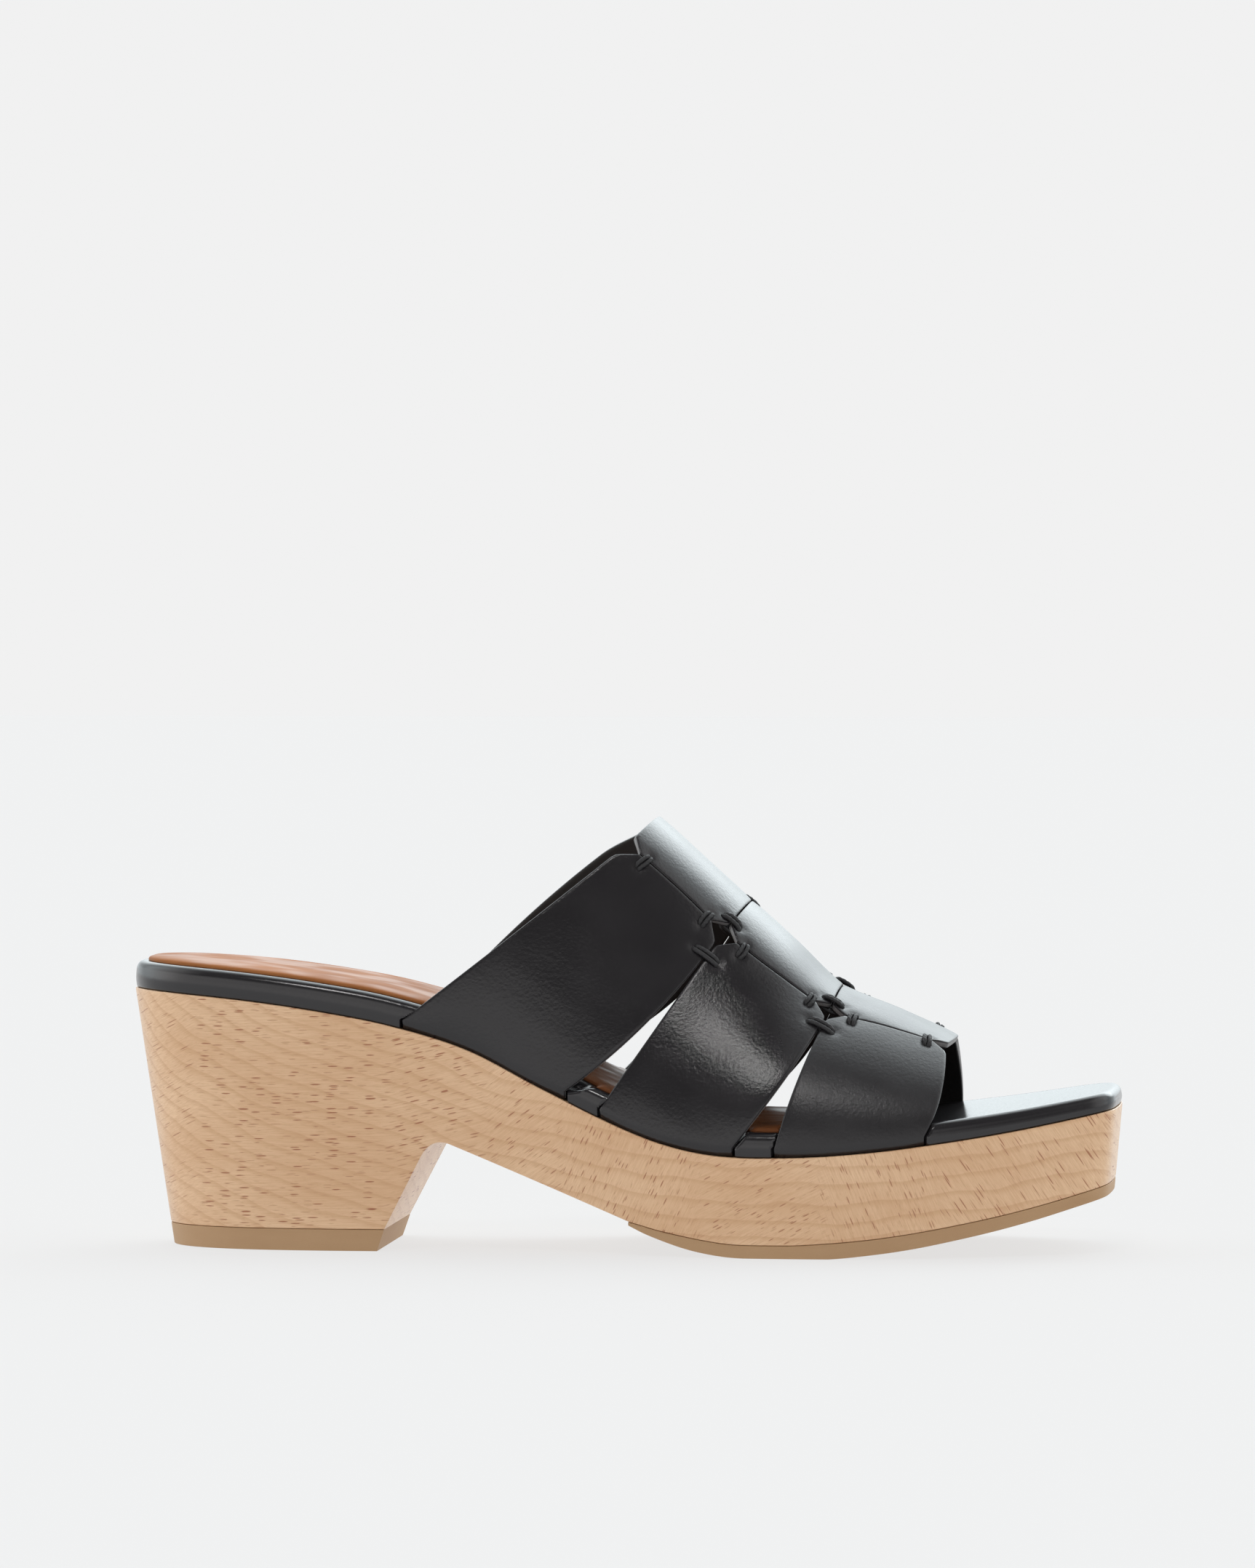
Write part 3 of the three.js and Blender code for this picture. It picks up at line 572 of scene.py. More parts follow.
def beech(t):
    point = t.add("SeparateXYZ", {"Vector": t.place()}).outputs
    wobble = t.noise(t.place((0.025, 0.02, 0.045)))
    lines = t.math("SUBTRACT", point["Z"], t.curve(point["X"], RING_SINK))
    lines = t.plus(lines, t.times(wobble, RING_WOBBLE))
    lines = t.plus(lines, t.times(point["Y"], RING_TILT))
    phase = t.math("FRACT", t.math("DIVIDE", lines, RING_SPACING))
    ring = t.times(t.ramp(phase, 0.55, 0.94), t.ramp(phase, 0.94, 1.0, 1.0, 0.0))
    thin = t.math("FRACT", t.math("DIVIDE", lines, FINE_SPACING))
    thin = t.ramp(t.math("ABSOLUTE", t.math("SUBTRACT", thin, 0.5)), 0.3, 0.5)
    patchy = t.ramp(t.noise(t.place((0.02, 0.05, 0.05))), 0.35, 0.7)
    crowded = t.ramp(t.noise(t.place((0.1, 0.1, 0.16))), 0.35, 0.65, -0.2, 0.2, "LINEAR")
    flecks, pores, fibres = 0.0, 0.0, 0.0
    for (low, high), slope, long, thick, dark in FLECKS:
        turn = (0, slope, 0)
        cells = t.voronoi(t.place((0.58 / long, 0.1, 0.85 / thick), turn=turn))
        ragged = t.noise(t.place((2 / long, 0.5, 1 / thick), turn=turn), detail=2.0)
        reach = t.plus(cells["Distance"], t.times(ragged, 0.16))
        chance = t.add("SeparateColor", {"Color": cells["Color"]}).outputs[0]
        chance = t.plus(chance, crowded)
        share = t.plus(t.ramp(chance, 0.2, 0.4, 0.0, 0.35), t.ramp(chance, 0.55, 0.8, 0.0, 0.65))
        dash = t.times(t.ramp(reach, 0.28, 0.42, 1.0, 0.0), share)
        dash = t.times(dash, dark)
        fine = t.place((1 / (0.8 * long), 1 / 1.2, 1 / (0.5 * thick)), turn=turn, shift=(7, 3, 5))
        speck = t.ramp(t.noise(fine, detail=2.0), 0.52, 0.74)
        hair = t.noise(t.place((1 / 9, 1 / 2, 1 / 0.28), turn=turn, shift=(1, 8, 2)), roughness=0.6)
        fade_in = t.ramp(point["X"], low, low + FLECK_FADE)
        here = t.times(fade_in, t.ramp(point["X"], high - FLECK_FADE, high, 1.0, 0.0))
        dash, speck, hair = (t.times(v, here) for v in (dash, speck, hair))
        flecks, pores, fibres = (
            t.plus(total, v) for total, v in ((flecks, dash), (pores, speck), (fibres, hair))
        )
    tone = t.mix(patchy, BEECH_LIGHT, BEECH_WARM)
    tone = t.mix(t.times(ring, 0.34), tone, BEECH_RING)
    tone = t.mix(t.times(thin, 0.03), tone, BEECH_RING)
    tone = t.mix(t.ramp(fibres, 0.3, 0.7, 0.0, 0.34), tone, BEECH_RING)
    tone = t.mix(t.times(pores, 0.25), tone, BEECH_PORE)
    tone = t.mix(t.times(flecks, 0.85), tone, BEECH_FLECK)
    dents = t.plus(flecks, t.times(pores, 0.4))
    rough = t.ramp(pores, 0.0, 1.0, 0.42, 0.55)
    return {
        "Base Color": tone, "Roughness": rough, "Normal": t.bump(dents, -0.2, 0.1),
        "Specular IOR Level": 0.45, "Coat Weight": 0.35, "Coat Roughness": 0.16, "Coat IOR": 1.4,
    }


FRONT_STRAP = (38, 46)  # over this x the leather turns duller, toward the front patches


def black_leather(t):
    soft = t.noise(t.even(0.05), detail=2.0)
    pebble = t.voronoi(t.even(1.2), feature="SMOOTH_F1")["Distance"]
    grain = t.noise(t.even(2.4), detail=4.0, roughness=0.6)
    crease = t.noise(t.place((0.3, 0.3, 0.14), turn=(0, 35, 0)), detail=1.0)
    height = t.plus(t.times(pebble, 0.5), t.times(grain, 0.5))
    normal = t.bump(crease, 0.06, 0.25, t.bump(height, 0.55, 0.15))
    tone = t.mix(t.ramp(soft, 0.3, 0.7), (0.0095, 0.0084, 0.0100, 1), (0.0135, 0.0122, 0.0140, 1))
    rough = t.plus(t.ramp(soft, 0.3, 0.7, 0.15, 0.21), t.times(grain, 0.08))
    rough = t.plus(rough, t.ramp(t.along_x(), *FRONT_STRAP, 0.0, 0.13))
    return looks(tone, rough, normal)


def leather_edge_painted_highlight(t):
    fibre = t.noise(t.even(3), detail=4.0, roughness=0.7)
    # the cut edge's own paler fibres, lightened further as a painted highlight line along the edges
    tone = t.mix(fibre, (0.05, 0.049, 0.05, 1), (0.26, 0.25, 0.25, 1))
    normal = t.bump(fibre, 0.25, 0.1)
    return looks(tone, 0.4, normal, 0.7)


def leather_flesh(t):
    """The inner side of the straps: smooth black lining."""
    nap = t.noise(t.even(1.8), detail=5.0, roughness=0.65)
    tone = t.mix(nap, (0.010, 0.0098, 0.010, 1), (0.026, 0.025, 0.026, 1))
    return looks(tone, 0.6, t.bump(nap, 0.3, 0.15))


def rim_leather(t):
    grain = t.noise(t.even(1.6), detail=4.0, roughness=0.6)
    pull = t.noise(t.place((0.2, 0.2, 0.12)), detail=2.0)
    normal = t.bump(pull, 0.08, 0.3, t.bump(grain, 0.10, 0.08))
    rough = t.ramp(grain, 0.3, 0.7, 0.14, 0.22)
    return {
        "Base Color": (0.0125, 0.0112, 0.0130, 1), "Roughness": rough, "Normal": normal,
        "Coat Weight": 0.12, "Coat Roughness": 0.15,
    }


SOCK_SHADE_X = (-48, -20)  # over this x painted shade darkens the sock, where it runs in under the upper's straps


def tan_leather(t):
    soft = t.noise(t.even(0.05))
    grain = t.noise(t.even(2.0), detail=5.0, roughness=0.65)
    wave = t.noise(t.place((0.07, 0.09, 0.09)), detail=1.0)
    tone = t.mix(t.ramp(soft, 0.3, 0.7), rgb(148, 92, 50), rgb(163, 105, 61))
    tone = t.mix(t.times(t.ramp(grain, 0.5, 0.75), 0.25), tone, rgb(136, 84, 48))
    # painted shade: the sock turns dark brown toward the toe, standing in for the shade under the straps
    tone = t.mix(t.ramp(t.along_x(), *SOCK_SHADE_X, 0.0, 0.7), tone, rgb(84, 46, 26))
    normal = t.bump(wave, 0.5, 1.6, t.bump(grain, 0.10, 0.08))
    rough = t.ramp(wave, 0.35, 0.65, 0.38, 0.62)
    return looks(tone, rough, normal, 0.1)


def caramel_rubber(t):
    cloud = t.noise(t.place((0.06, 0.06, 0.2)))
    grit = t.noise(t.even(3), detail=4.0, roughness=0.7)
    tone = t.mix(cloud, rgb(172, 136, 99), rgb(186, 153, 116))
    tone = t.mix(t.times(grit, 0.2), tone, rgb(140, 105, 74))
    normal = t.bump(grit, 0.25, 0.1)
    return looks(tone, 0.55, normal, 0.35)


def waxed_cord(t):
    fibre = t.noise(t.even(6), roughness=0.7)
    tone = t.mix(fibre, (0.010, 0.010, 0.011, 1), (0.030, 0.029, 0.031, 1))
    normal = t.bump(fibre, 0.5, 0.12)
    return looks(tone, 0.55, normal, 0.45)


def bright_steel(t):
    scuff = t.noise(t.even(4), detail=4.0)
    rough = t.ramp(scuff, 0.3, 0.7, 0.22, 0.42)
    return {"Base Color": (0.62, 0.62, 0.64, 1), "Metallic": 1.0, "Roughness": rough}


def pale_board(t):
    fibre = t.noise(t.place((1.2, 1.2, 3)), detail=5.0, roughness=0.7)
    tone = t.mix(fibre, rgb(170, 146, 112), rgb(196, 174, 140))
    return looks(tone, 0.85, t.bump(fibre, 0.3, 0.15))


def cork(t):
    cell = t.voronoi(t.even(0.6))["Distance"]
    tone = t.mix(t.ramp(cell, 0.1, 0.7), rgb(196, 154, 104), rgb(128, 88, 52))
    return looks(tone, 0.9, t.bump(cell, 0.4, 0.3))


def cream_foam(t):
    cell = t.noise(t.even(2.5), detail=5.0, roughness=0.75)
    tone = t.mix(cell, rgb(222, 214, 196), rgb(240, 234, 220))
    return looks(tone, 0.95, t.bump(cell, 0.5, 0.2))


# ---------------- sole pieces
LEAN_ROUNDS = 4  # a wall's x and height depend on each other


def wall_ring(low, high, share=None, above_low=None, below_high=None, inset=0.0, limit=None):
    """A ring on the leaning walls, at a height between two profiles."""
    def ring(side):
        place, out = EDGE[side]
        x0 = place[:, 0] - out[:, 0] * inset
        y0 = place[:, 1] - out[:, 1] * inset
        edge_z = top_edge(place[:, 0])
        x = x0
        for _ in range(LEAN_ROUNDS):
            z_low, z_high = low(x), high(x)
            if share is not None:
                z = z_low + (z_high - z_low) * share
            elif above_low is not None:
                z = np.minimum(z_low + above_low, (z_low + z_high) / 2)
            else:
                z = np.maximum(z_high - below_high, (z_low + z_high) / 2)
            x, y = lean(x0, y0, z, edge_z)
            if limit is not None:
                x = np.minimum(x, limit(z))
        return np.stack([x, y, z], 1)
    return ring


# A rounded edge: inset and height of its rings, in radii.
ROUND = ((1.0, 0.0), (0.5, 0.07), (0.13, 0.35), (0.0, 1.0))
WOOD_EDGE, RUBBER_EDGE = 0.5, 0.35
RUBBER_GAP = 0.06  # between the rubber and the wood
CRISP = 0.5  # edges of the sole sharper than this, in radians, stay crisp


def sole_slab(low, high, radius, rows, first=0, last=EDGE_COUNT - 1, limit=None):
    """A slab between two profiles, with rounded edges and rows of rings up its walls."""
    def ring(**place):
        return wall_ring(low, high, limit=limit, **place)
    rings = [ring(above_low=h * radius, inset=i * radius) for i, h in ROUND]
    rings += [ring(share=(r + 1) / (rows + 1)) for r in range(rows)]
    rings += [ring(below_high=h * radius, inset=i * radius) for i, h in ROUND[::-1]]
    return ring_loft(rings, first, last)


def sole():
    wood = shader("beech", beech)
    rubber = shader("caramel_rubber", caramel_rubber)
    verts, faces = sole_slab(wood_under, top_edge, WOOD_EDGE, 10)
    piece("sole_block", verts, faces, [wood], "wood_sole", angle=CRISP)

    under_wood = lambda x: wood_under(x) - RUBBER_GAP
    verts, faces = sole_slab(tread_bottom, under_wood, RUBBER_EDGE, 2, first=station_of(TREAD[0][0]))
    piece("forefoot_tread", verts, faces, [rubber], "forefoot_outsole", angle=CRISP)

    low, high = HEEL_FRONT
    front = lambda z: low + (high - low) * z / TOP_PIECE
    flat = lambda level: (lambda x: np.full_like(x, level))
    top = flat(BREAST[0][1] - RUBBER_GAP)
    verts, faces = sole_slab(flat(0.0), top, RUBBER_EDGE, 2, last=station_of(high), limit=front)
    piece("heel_tread", verts, faces, [rubber], "heel_top_piece", angle=CRISP)


# ---------------- footbed pieces
def bed_ring(inset, height):
    """A ring of the footbed: its inset from the sole's edge and its height above it."""
    def ring(side):
        place, out = EDGE[side]
        level = height(place[:, 0], 0)
        hidden = covered(side, place[:, 0], level)
        p = place - out * (inset + STRAP_CLEARANCE * hidden)[:, None]
        return np.stack([p[:, 0], p[:, 1], top_edge(p[:, 0]) + height(p[:, 0], hidden)], 1)
    return ring


# The rim's folds: their depth, how far from a strap they reach, and how far below the top they are full.
FOLD, FOLD_REACH, FOLD_DROP = 0.03, 4.0, 2.0


def crumple(side, x):
    """Small folds of the rim's leather beside the straps."""
    near = sum(np.exp(-((x - end) / FOLD_REACH) ** 2) for feet in STRAP_FEET[side] for end in feet)
    return near * np.sin(x * 1.5 + 1.0) * np.cos(x * 0.6)


SHOULDER, RIM_STEPS, WALL_STEPS = 2.3, 10, 9  # the rim's rounding, and the rings up it and its wall
RIM_INSET, BULGE = 0.3, 0.15  # the wall's inset, and how far its middle stands out
RIM_FOOT, RIM_LIFT, FOOT_ROUND = 0.1, 2.0, 0.5  # the wall's foot above the wood, and its lift at a strap
SOCK_INSET, SOCK_RISE, SOCK_FRONT = 3.3, 1.7, 72
# The wrap's rings, as (inset, drop from the rim's top) inside and on top, and (inset, rise) at its foot.
INSIDE_RINGS, TOP_RINGS = ((2.2, 1.3), (1.4, 1.8)), ((3.5, 0.1), (6.3, 0.15))
FOOT_RINGS = ((1.3, 0.0), (0.8, 0.0), (0.4, 0.15), (RIM_INSET, FOOT_ROUND))
# The sock's rings: how far in from its edge, and their rise, in millimetres and then as a share.
SOCK_EDGE = ((0.4, -0.1), (0.0, 0.05), (0.0, 0.4))
SOCK_CROWN = (
    (0.15, 0.42), (0.4, 0.55), (0.9, 0.66), (1.8, 0.75), (3.5, 0.83), (6, 0.9), (9, 0.96), (14, 1),
)
SOFT_EDGE = 1.0  # edges of the footbed sharper than this stay crisp


def footbed():
    rim = shader("rim_leather", rim_leather)
    tan = shader("tan_leather", tan_leather)
    foot = lambda rise: (lambda x, hidden: RIM_FOOT + RIM_LIFT * hidden + rise)
    under = lambda drop: (lambda x, hidden: rim_height(x) - drop)
    rings = [bed_ring(inset, under(drop)) for inset, drop in INSIDE_RINGS]
    rings += [bed_ring(inset, foot(rise)) for inset, rise in FOOT_RINGS]
    for share in np.linspace(0.1, 0.9, WALL_STEPS):
        def wall(x, hidden, share=share):
            low = foot(FOOT_ROUND)(x, hidden)
            return low + (rim_height(x) - SHOULDER - low) * share
        rings.append(bed_ring(RIM_INSET - BULGE * math.sin(math.pi * share), wall))
    for i in range(RIM_STEPS + 1):
        a = i / RIM_STEPS * math.pi / 2
        inset = RIM_INSET + SHOULDER * (1 - math.cos(a))
        rings.append(bed_ring(inset, under(SHOULDER * (1 - math.sin(a)))))
    rings += [bed_ring(inset, under(drop)) for inset, drop in TOP_RINGS]
    folded = []
    for ring in rings:
        def shaped(side, ring=ring):
            p = ring(side)
            low = smoothstep(rim_height(p[:, 0]) - (p[:, 2] - top_edge(p[:, 0])), 0.0, FOLD_DROP)
            p[:, 1] += SIDES[side] * FOLD * crumple(side, p[:, 0]) * low
            return p
        folded.append(shaped)
    verts, faces = ring_loft(folded)
    piece("footbed_wrap", verts, faces, [rim], "footbed_cover", angle=SOFT_EDGE)

    lift = lambda h: (lambda x, hidden: rim_height(x) + h)
    rings = [bed_ring(SOCK_INSET + inset, lift(h)) for inset, h in SOCK_EDGE]
    rings += [bed_ring(SOCK_INSET + inset, lift(SOCK_RISE * share)) for inset, share in SOCK_CROWN]
    verts, faces = ring_loft(rings, last=station_of(SOCK_FRONT))
    sock = piece("sock_lining", verts, faces, [tan], "insole_sock", angle=SOFT_EDGE)


# ---------------- the upper
crest = Curve([(x, 0, z) for x, z in CREST])
seam = {side: Curve([(x, SEAM_Y[side], z) for x, z in SEAM[side]]) for side in SIDES}
swell = {side: Curve(SWELL[side]) for side in SIDES}


def along_upper(k, s):
    """Place from 0 to 1 along the whole upper, for place s on its patch k."""
    return (k + s) / len(STRAPS)


def panel_point(u, across):
    """Centre panels: u along the shoe, across = 0 at the lateral seam and 1 at the medial seam."""
    u, t = np.broadcast_arrays(np.asarray(u, float), np.asarray(across, float))
    a, d, c = seam["lateral"](u), seam["medial"](u), crest(u)
    top = (8 * c - a - d) / 6
    p1, p2 = top.copy(), top.copy()
    p1[..., 1], p2[..., 1] = CROWN_Y["lateral"], CROWN_Y["medial"]
    t = t[..., None]
    return (1 - t) ** 3 * a + 3 * t * (1 - t) ** 2 * p1 + 3 * t * t * (1 - t) * p2 + t ** 3 * d


def medial_pull(k):
    """How far a medial strap's two edges move, below the seam, to meet its neighbours' edges."""
    feet = STRAP_FEET["medial"]
    rear = (feet[k - 1][1] - feet[k][0]) / 2 if k > 0 else 0.0
    front = (feet[k + 1][0] - feet[k][1]) / 2 if k + 1 < len(feet) else 0.0
    return rear, front


def rear_flare(u, down):
    """How the far strap's rear edge stands out below the crest."""
    near = np.maximum(0, 1 - u / FLARE_REACH) ** 2
    out = FLARE * near * smoothstep(down, 0, FLARE_START) * (1 - down) ** 1.5
    return np.stack([-out, 0 * out, out], -1)


def strap_point(side, k, s, down):
    """Straps: down = 0 at the seam, 1 at the sole's edge, 2 at the end of the flange under the footbed."""
    s, down = np.broadcast_arrays(np.asarray(s, float), np.asarray(down, float))
    u = np.clip(along_upper(k, s), 0, 1)
    low, high = STRAP_FEET[side][k]
    x = low + (high - low) * s
    edge = half_width(side, x) - FOOT_INSET
    wood = top_edge(x) + FOOT_GAP
    a, b = seam[side](u), swell[side](u)
    if side == "medial":
        low, high = medial_pull(k)
        x = x + (low + (high - low) * s) * (1 - smoothstep(down, *PULL_FADE))
    c = np.stack([x, SIDES[side] * edge, wood + FLANGE_BEND], -1)
    t = np.clip(down, 0, 1)[..., None]
    upper = (1 - t) ** 2 * a + 2 * t * (1 - t) * b + t ** 2 * c
    if side == "medial":
        upper = upper + rear_flare(u, t[..., 0])
    turn = np.clip((down - 1) / BEND_END, 0, 1) * math.pi / 2
    flat = np.maximum(0, (down - 1 - BEND_END) / (1 - BEND_END))
    inward = FLANGE_BEND * (1 - np.cos(turn)) + FLANGE_WIDTH * flat
    flange = np.stack([x, SIDES[side] * (edge - inward), wood + FLANGE_BEND * (1 - np.sin(turn))], -1)
    return np.where((down <= 1)[..., None], upper, flange)


INNER = (0.001, 0.999)  # normals are read no nearer than this to an end


def unit(v):
    return v / np.linalg.norm(v, axis=-1, keepdims=True)


def normal_of(point, a, b, sign=1):
    h = 1e-3
    return unit(np.cross(point(a + h, b) - point(a - h, b), point(a, b + h) - point(a, b - h)) * sign)


def strap_normal(side, k, s, down):
    return normal_of(lambda a, b: strap_point(side, k, a, b), s, down, SIDES[side])


def panel_normal(u, across):
    return normal_of(panel_point, u, across)


def seam_normal(side, k, s):
    """Halfway between the strap's and the panel's own normals, at the seam between them."""
    s = np.clip(s, *INNER)
    across = 0.0 if side == "lateral" else 1.0
    return unit(strap_normal(side, k, s, 0.01) + panel_normal(along_upper(k, s), across))


def pace(side, k):
    """Millimetres of leather for one unit of down, just below a strap's seam."""
    u = along_upper(k, 0.5)
    return 2 * np.linalg.norm(swell[side](u) - seam[side](u))


def tie_list():
    """Every cord tie: its name, its middles on the two pieces that it joins, its normal and its length."""
    ties = []
    for side in SIDES:
        inside = lambda mm, side=side: (mm if side == "lateral" else PANEL_GIRTH - mm) / PANEL_GIRTH
        on_strap = lambda k, s, mm, side=side: strap_point(side, k, s, mm / pace(side, k))
        for k, strap in enumerate(STRAPS):
            for n, share in enumerate(CORNER_TIES):
                start = on_strap(k, share, SEAM_TIE["on_strap"])
                ends = start, panel_point(along_upper(k, share), inside(SEAM_TIE["on_panel"]))
                normal = seam_normal(side, k, share)
                ties.append((f"{side}_tie_{strap}_{n + 1}", ends, normal, SEAM_TIE["length"]))
            if strap == STRAPS[-1]:
                continue
            meet, across = along_upper(k, 1), inside(PANEL_TIE["from_seam"])
            step = along_upper(0, PANEL_TIE["from_gap"] / PATCH_LENGTH)
            ends = panel_point(meet - step, across), panel_point(meet + step, across)
            normal = panel_normal(meet, across)
            ties.append((f"{side}_tie_panels_{k + 1}", ends, normal, PANEL_TIE["length"]))
            step, below = STRAP_TIE["from_gap"] / PATCH_LENGTH, STRAP_TIE["below"][k]
            ends = on_strap(k, 1 - step, below), on_strap(k + 1, step, STRAP_TIE["below_next"][k])
            normal = strap_normal(side, k, INNER[1], below / pace(side, k))
            ties.append((f"{side}_tie_straps_{k + 1}", ends, normal, STRAP_TIE["length"]))
    return ties


TIES = tie_list()
HOLE_INSET = 0.5  # a hole's middle, in from the end of its tie


def tie_holes():
    """Where the cords go through the leather."""
    holes = []
    for _, (a, b), _, length in TIES:
        middle, reach = (a + b) / 2, unit(b - a) * (length / 2 - HOLE_INSET)
        holes += [middle + reach, middle - reach]
    return np.array(holes)


HOLES = tie_holes()
EDGE_ROUND = 0.4
FINE = (0.0, 0.06, 0.16, 0.38, 0.8, 1.5)  # distances of the rows beside a cut edge
DIMPLE, DIMPLE_WIDTH, INNER_DIMPLE = 0.5, 1.2, 0.6  # how far the leather is drawn in round a hole
PILLOW, PILLOW_WIDTH = 0.35, 3.5  # how far a patch rises from its edges
WAVES_FULL = 4  # from its edges, where a patch's unevenness is full
COLUMN_STEP, ROW_STEP = 1.0, 1.2
ROUNDED = 1.2  # edges of a patch sharper than this stay crisp


def spaced(length, step):
    """Distances from one edge to the other, packed close at both ends."""
    count = max(2, int((length - 2 * FINE[-1]) / step))
    inner = np.linspace(FINE[-1] + step, length - FINE[-1] - step, count)
    return np.concatenate([FINE, inner, length - np.array(FINE[::-1])])


CUT_SOFT, CUT_FADE = 0.3, 2


def corner_cut(y, size):
    """How far an edge is drawn in at distance y from a cut corner: straight, with a soft end."""
    left = size - y
    soft = 0.5 * (left + np.sqrt(left ** 2 + CUT_SOFT))
    return soft * (1 - smoothstep(y, size, size + CUT_FADE))


def waves(p):
    """The slow unevenness of hand-cut leather."""
    x, y, z = p[..., 0], p[..., 1], p[..., 2]
    slow = np.sin(0.21 * x + 0.12 * z + 1.3) * np.sin(0.17 * z - 0.19 * y)
    return 0.05 * slow + 0.015 * np.sin(0.6 * z + 0.4 * x)


def slab(point, normal, rows, to_end, back, thickness):
    """A leather patch: outer face, cut edge and inner face, the 0, 1 and 2 of kinds.

    to_end is each row's distance to the patch's nearest end, and back is how far the row is drawn in.
    """
    columns = spaced(PATCH_LENGTH, COLUMN_STEP)
    width = PATCH_LENGTH - 2 * back[:, None]
    a = (back[:, None] + columns / PATCH_LENGTH * width) / PATCH_LENGTH
    b = np.broadcast_to(rows[:, None], a.shape)
    near = np.minimum(np.minimum(columns, PATCH_LENGTH - columns) * width / PATCH_LENGTH, to_end[:, None])
    roll = EDGE_ROUND - np.sqrt(EDGE_ROUND ** 2 - (EDGE_ROUND - np.minimum(near, EDGE_ROUND)) ** 2)
    p, n = point(a, b), normal(a, b)
    gap = np.linalg.norm(p[:, :, None, :] - HOLES, axis=-1)
    dimple = DIMPLE * np.exp(-(gap / DIMPLE_WIDTH) ** 2).sum(-1)
    rise = PILLOW * (1 - np.exp(-near / PILLOW_WIDTH)) + waves(p) * smoothstep(near, 0, WAVES_FULL)
    thick = thickness(b)
    outer = p + n * (rise - roll - dimple)[..., None]
    inner = p + n * (rise - thick + np.minimum(roll, thick / 3) - dimple * INNER_DIMPLE)[..., None]
    n_row, n_col = a.shape
    verts = np.concatenate([outer.reshape(-1, 3), inner.reshape(-1, 3)])
    base = n_row * n_col
    faces, kinds = [], []
    for j in range(n_row - 1):
        for i in range(n_col - 1):
            q = j * n_col + i
            quad = (q, q + 1, q + n_col + 1, q + n_col)
            faces += [quad, tuple(base + v for v in quad[::-1])]
            kinds += [0, 2]
    border = [(0, i) for i in range(n_col - 1)] + [(j, n_col - 1) for j in range(n_row - 1)]
    border += [(n_row - 1, i) for i in range(n_col - 1, 0, -1)] + [(j, 0) for j in range(n_row - 1, 0, -1)]
    loop = [j * n_col + i for j, i in border]
    for a, b in zip(loop, loop[1:] + loop[:1]):
        faces.append((a, b, base + b, base + a))
        kinds.append(1)
    return verts, faces, kinds


def add_patch(name, node, made, leathers):
    verts, faces, kinds = made
    piece(name, verts, faces, leathers, node, face_material=kinds, angle=ROUNDED)


def blended(share, own, shared):
    """A patch's own normal, turned to the shared one close to a seam."""
    share = np.clip(share, 0, 1)[..., None]
    return unit(shared * (1 - share) + own * share)


# Rows of a strap past its foot, round the bend and at its end, and their distances to that end.
BEND_ROWS, END_ROWS = (1.0, 1.06, 1.12, 1.18, 1.24, 1.3, 1.6), (1.9, 2.0)
FAR, NEAR_END = 50, (3, 0)
LAST_ROW = 0.985  # of the rows above the foot


def straps(leathers):
    for side in SIDES:
        for k, strap in enumerate(STRAPS):
            reach = pace(side, k)
            start = EDGE_GAP / reach
            downs = spaced(reach, ROW_STEP)
            downs = downs[start + downs / reach < LAST_ROW]
            rows = np.concatenate([start + downs / reach, BEND_ROWS, END_ROWS])
            to_end = np.concatenate([downs, [FAR] * len(BEND_ROWS), NEAR_END])
            back = STRAP_GAP[side] + corner_cut((rows - start) * reach, CORNER_CUT[side])
            point = lambda a, b: strap_point(side, k, a, b)
            normal = lambda a, b: blended((b - start) * reach / SEAM_BLEND, strap_normal(side, k, a, b),
                                          seam_normal(side, k, a))
            thick = lambda b: LEATHER + (FLANGE_THICK - LEATHER) * np.clip((b - 1) / BEND_END, 0, 1)
            made = slab(point, normal, rows, to_end, back, thick)
            add_patch(f"{side}_{strap}_strap_leather", f"{side}_strap_{strap}", made, leathers)


def panels(leathers):
    girth = PANEL_GIRTH - 2 * EDGE_GAP
    for k, strap in enumerate(STRAPS):
        away = spaced(girth, ROW_STEP)
        rows = (EDGE_GAP + away) / PANEL_GIRTH
        to_end = np.minimum(away, girth - away)
        back = EDGE_GAP + np.where(rows < 0.5, corner_cut(to_end, CORNER_CUT["lateral"]),
                                   corner_cut(to_end, CORNER_CUT["medial"]))
        point = lambda a, b: panel_point(along_upper(k, a), b)

        def normal(a, b):
            lateral, medial = seam_normal("lateral", k, a), seam_normal("medial", k, a)
            shared = np.where((b < 0.5)[..., None], lateral, medial)
            share = (np.minimum(b, 1 - b) * PANEL_GIRTH - EDGE_GAP) / SEAM_BLEND
            return blended(share, panel_normal(np.clip(along_upper(k, a), *INNER), b), shared)

        made = slab(point, normal, rows, to_end, back, lambda b: LEATHER + 0 * b)
        add_patch(f"centre_{strap}_panel_leather", f"vamp_panel_{strap}", made, leathers)


CORD_RADIUS, PLIES, LAY = 0.56, 3, 3.4  # lay: length of one full twist of the plies
CORD_STEPS, CORD_SIDES = 96, 15
LOOP_POWER, LOOP_GAP = 0.7, 0.1  # how boxy the loops are, and their gap over the leather
STRAND_APART, STRAND_BULGE, STRAND_SWAY = 0.42, 0.22, 0.16
STRAND_LIFT, STRAND_LONGER = 0.10, 0.04  # how the two strands of a tie differ in height and in length
PLY_CORE, PLY_SWELL = 0.86, 0.2  # a strand's outline between and at its plies, in radii


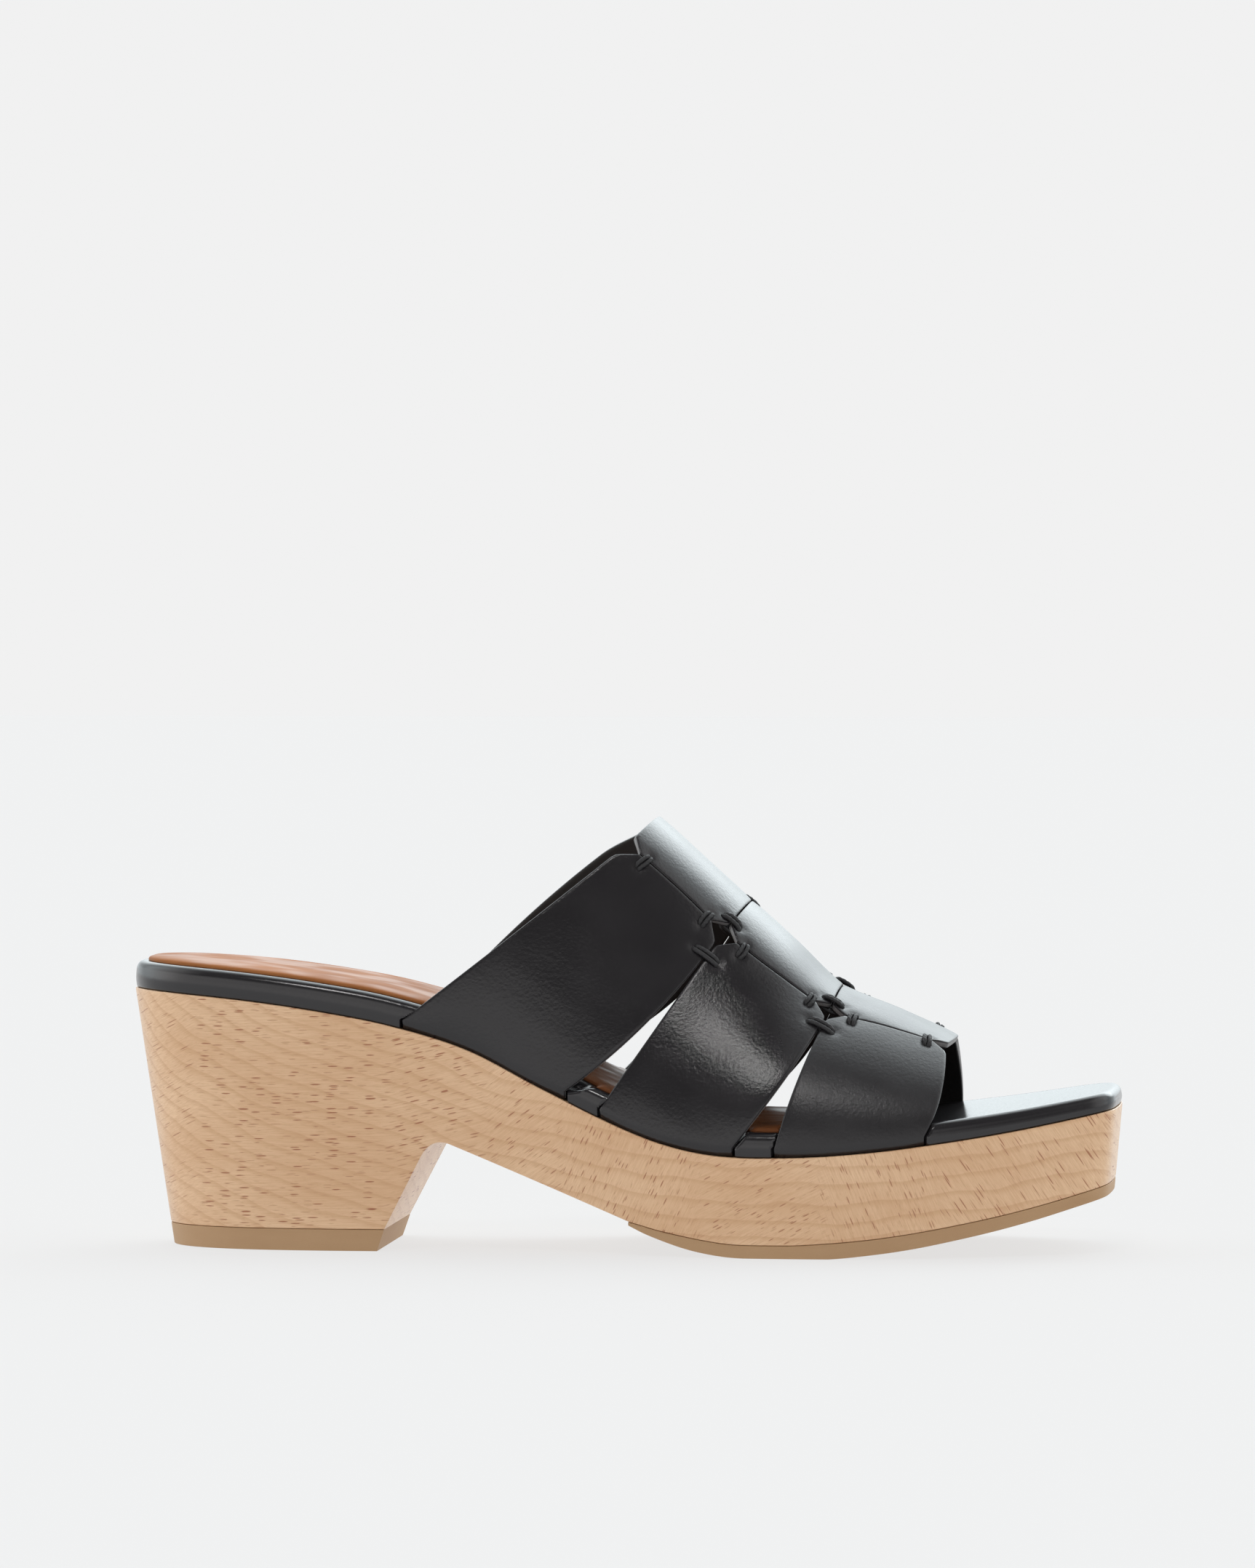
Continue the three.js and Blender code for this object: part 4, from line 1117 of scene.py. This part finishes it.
def cord_ties():
    """Two turns of three-ply cord through two holes, as closed loops side by side."""
    cord = shader("waxed_cord", waxed_cord)
    angle = np.arange(CORD_STEPS) / CORD_STEPS * 2 * math.pi
    turn = np.arange(CORD_SIDES) / CORD_SIDES * 2 * math.pi
    square = lambda c: np.sign(c) * np.abs(c) ** LOOP_POWER
    rise = LEATHER / 2 + LOOP_GAP + CORD_RADIUS
    for index, (name, (a, b), normal, length) in enumerate(TIES):
        middle, way = (a + b) / 2, unit(b - a)
        up = unit(normal - way * np.dot(normal, way))
        across = np.cross(way, up)
        verts, faces = [], []
        for strand in (-1, 1):
            lift = STRAND_LIFT * strand * math.sin(index * 2.4)
            run = square(np.cos(angle)) * (length / 2 - CORD_RADIUS) * (1 + STRAND_LONGER * strand)
            height = square(np.sin(angle)) * (rise + lift) - LEATHER / 2
            spread = strand * (STRAND_APART + STRAND_BULGE * np.abs(np.sin(angle)))
            spread = spread + STRAND_SWAY * np.sin(angle * 2 + index)
            path = middle + way * run[:, None] + up * height[:, None] + across * spread[:, None]
            along = unit(np.roll(path, -1, 0) - np.roll(path, 1, 0))
            sideways = unit(across - along * (along @ across)[:, None])
            outward = np.cross(sideways, along)
            run_length = np.cumsum(np.linalg.norm(path - np.roll(path, 1, 0), axis=1))
            twists = max(1, round(run_length[-1] / LAY))
            phase = run_length / run_length[-1] * twists * 2 * math.pi * strand
            ply = PLY_CORE + PLY_SWELL * np.abs(np.cos(PLIES / 2 * (turn + phase[:, None])))
            ring = sideways[:, None] * np.cos(turn)[:, None] + outward[:, None] * np.sin(turn)[:, None]
            base = len(verts)
            verts.extend((path[:, None] + ring * (CORD_RADIUS * ply)[..., None]).reshape(-1, 3))
            for i in range(CORD_STEPS):
                here, ahead = base + i * CORD_SIDES, base + (i + 1) % CORD_STEPS * CORD_SIDES
                for j in range(CORD_SIDES):
                    j2 = (j + 1) % CORD_SIDES
                    faces.append((here + j, ahead + j, ahead + j2, here + j2))
        piece(name + "_cord", verts, faces, [cord], name, angle=1.5)


# ---------------- pieces that stay as the CAD made them
CARRIED = {
    "bottom_filler": ("cork", cork), "insole_board": ("pale_board", pale_board),
    "footbed_foam": ("cream_foam", cream_foam),
}


def carried():
    for node, (name, build) in CARRIED.items():
        dress(frame["nodes"][node], shader(name, build))
    steel = shader("bright_steel", bright_steel)
    for node, obj in frame["nodes"].items():
        if "_tack_" in node or node.startswith("heel_nail"):
            dress(obj, steel)


def dress(obj, material):
    obj.data.materials.clear()
    obj.data.materials.append(material)


# ---------------- the scene
bpy.context.scene.view_settings.view_transform = "Standard"
camera()
world()
floor()
sole()
footbed()
LEATHERS = [shader("black_leather", black_leather), shader("leather_edge_painted_highlight", leather_edge_painted_highlight),
            shader("leather_flesh", leather_flesh)]
panels(LEATHERS)
straps(LEATHERS)
cord_ties()
carried()
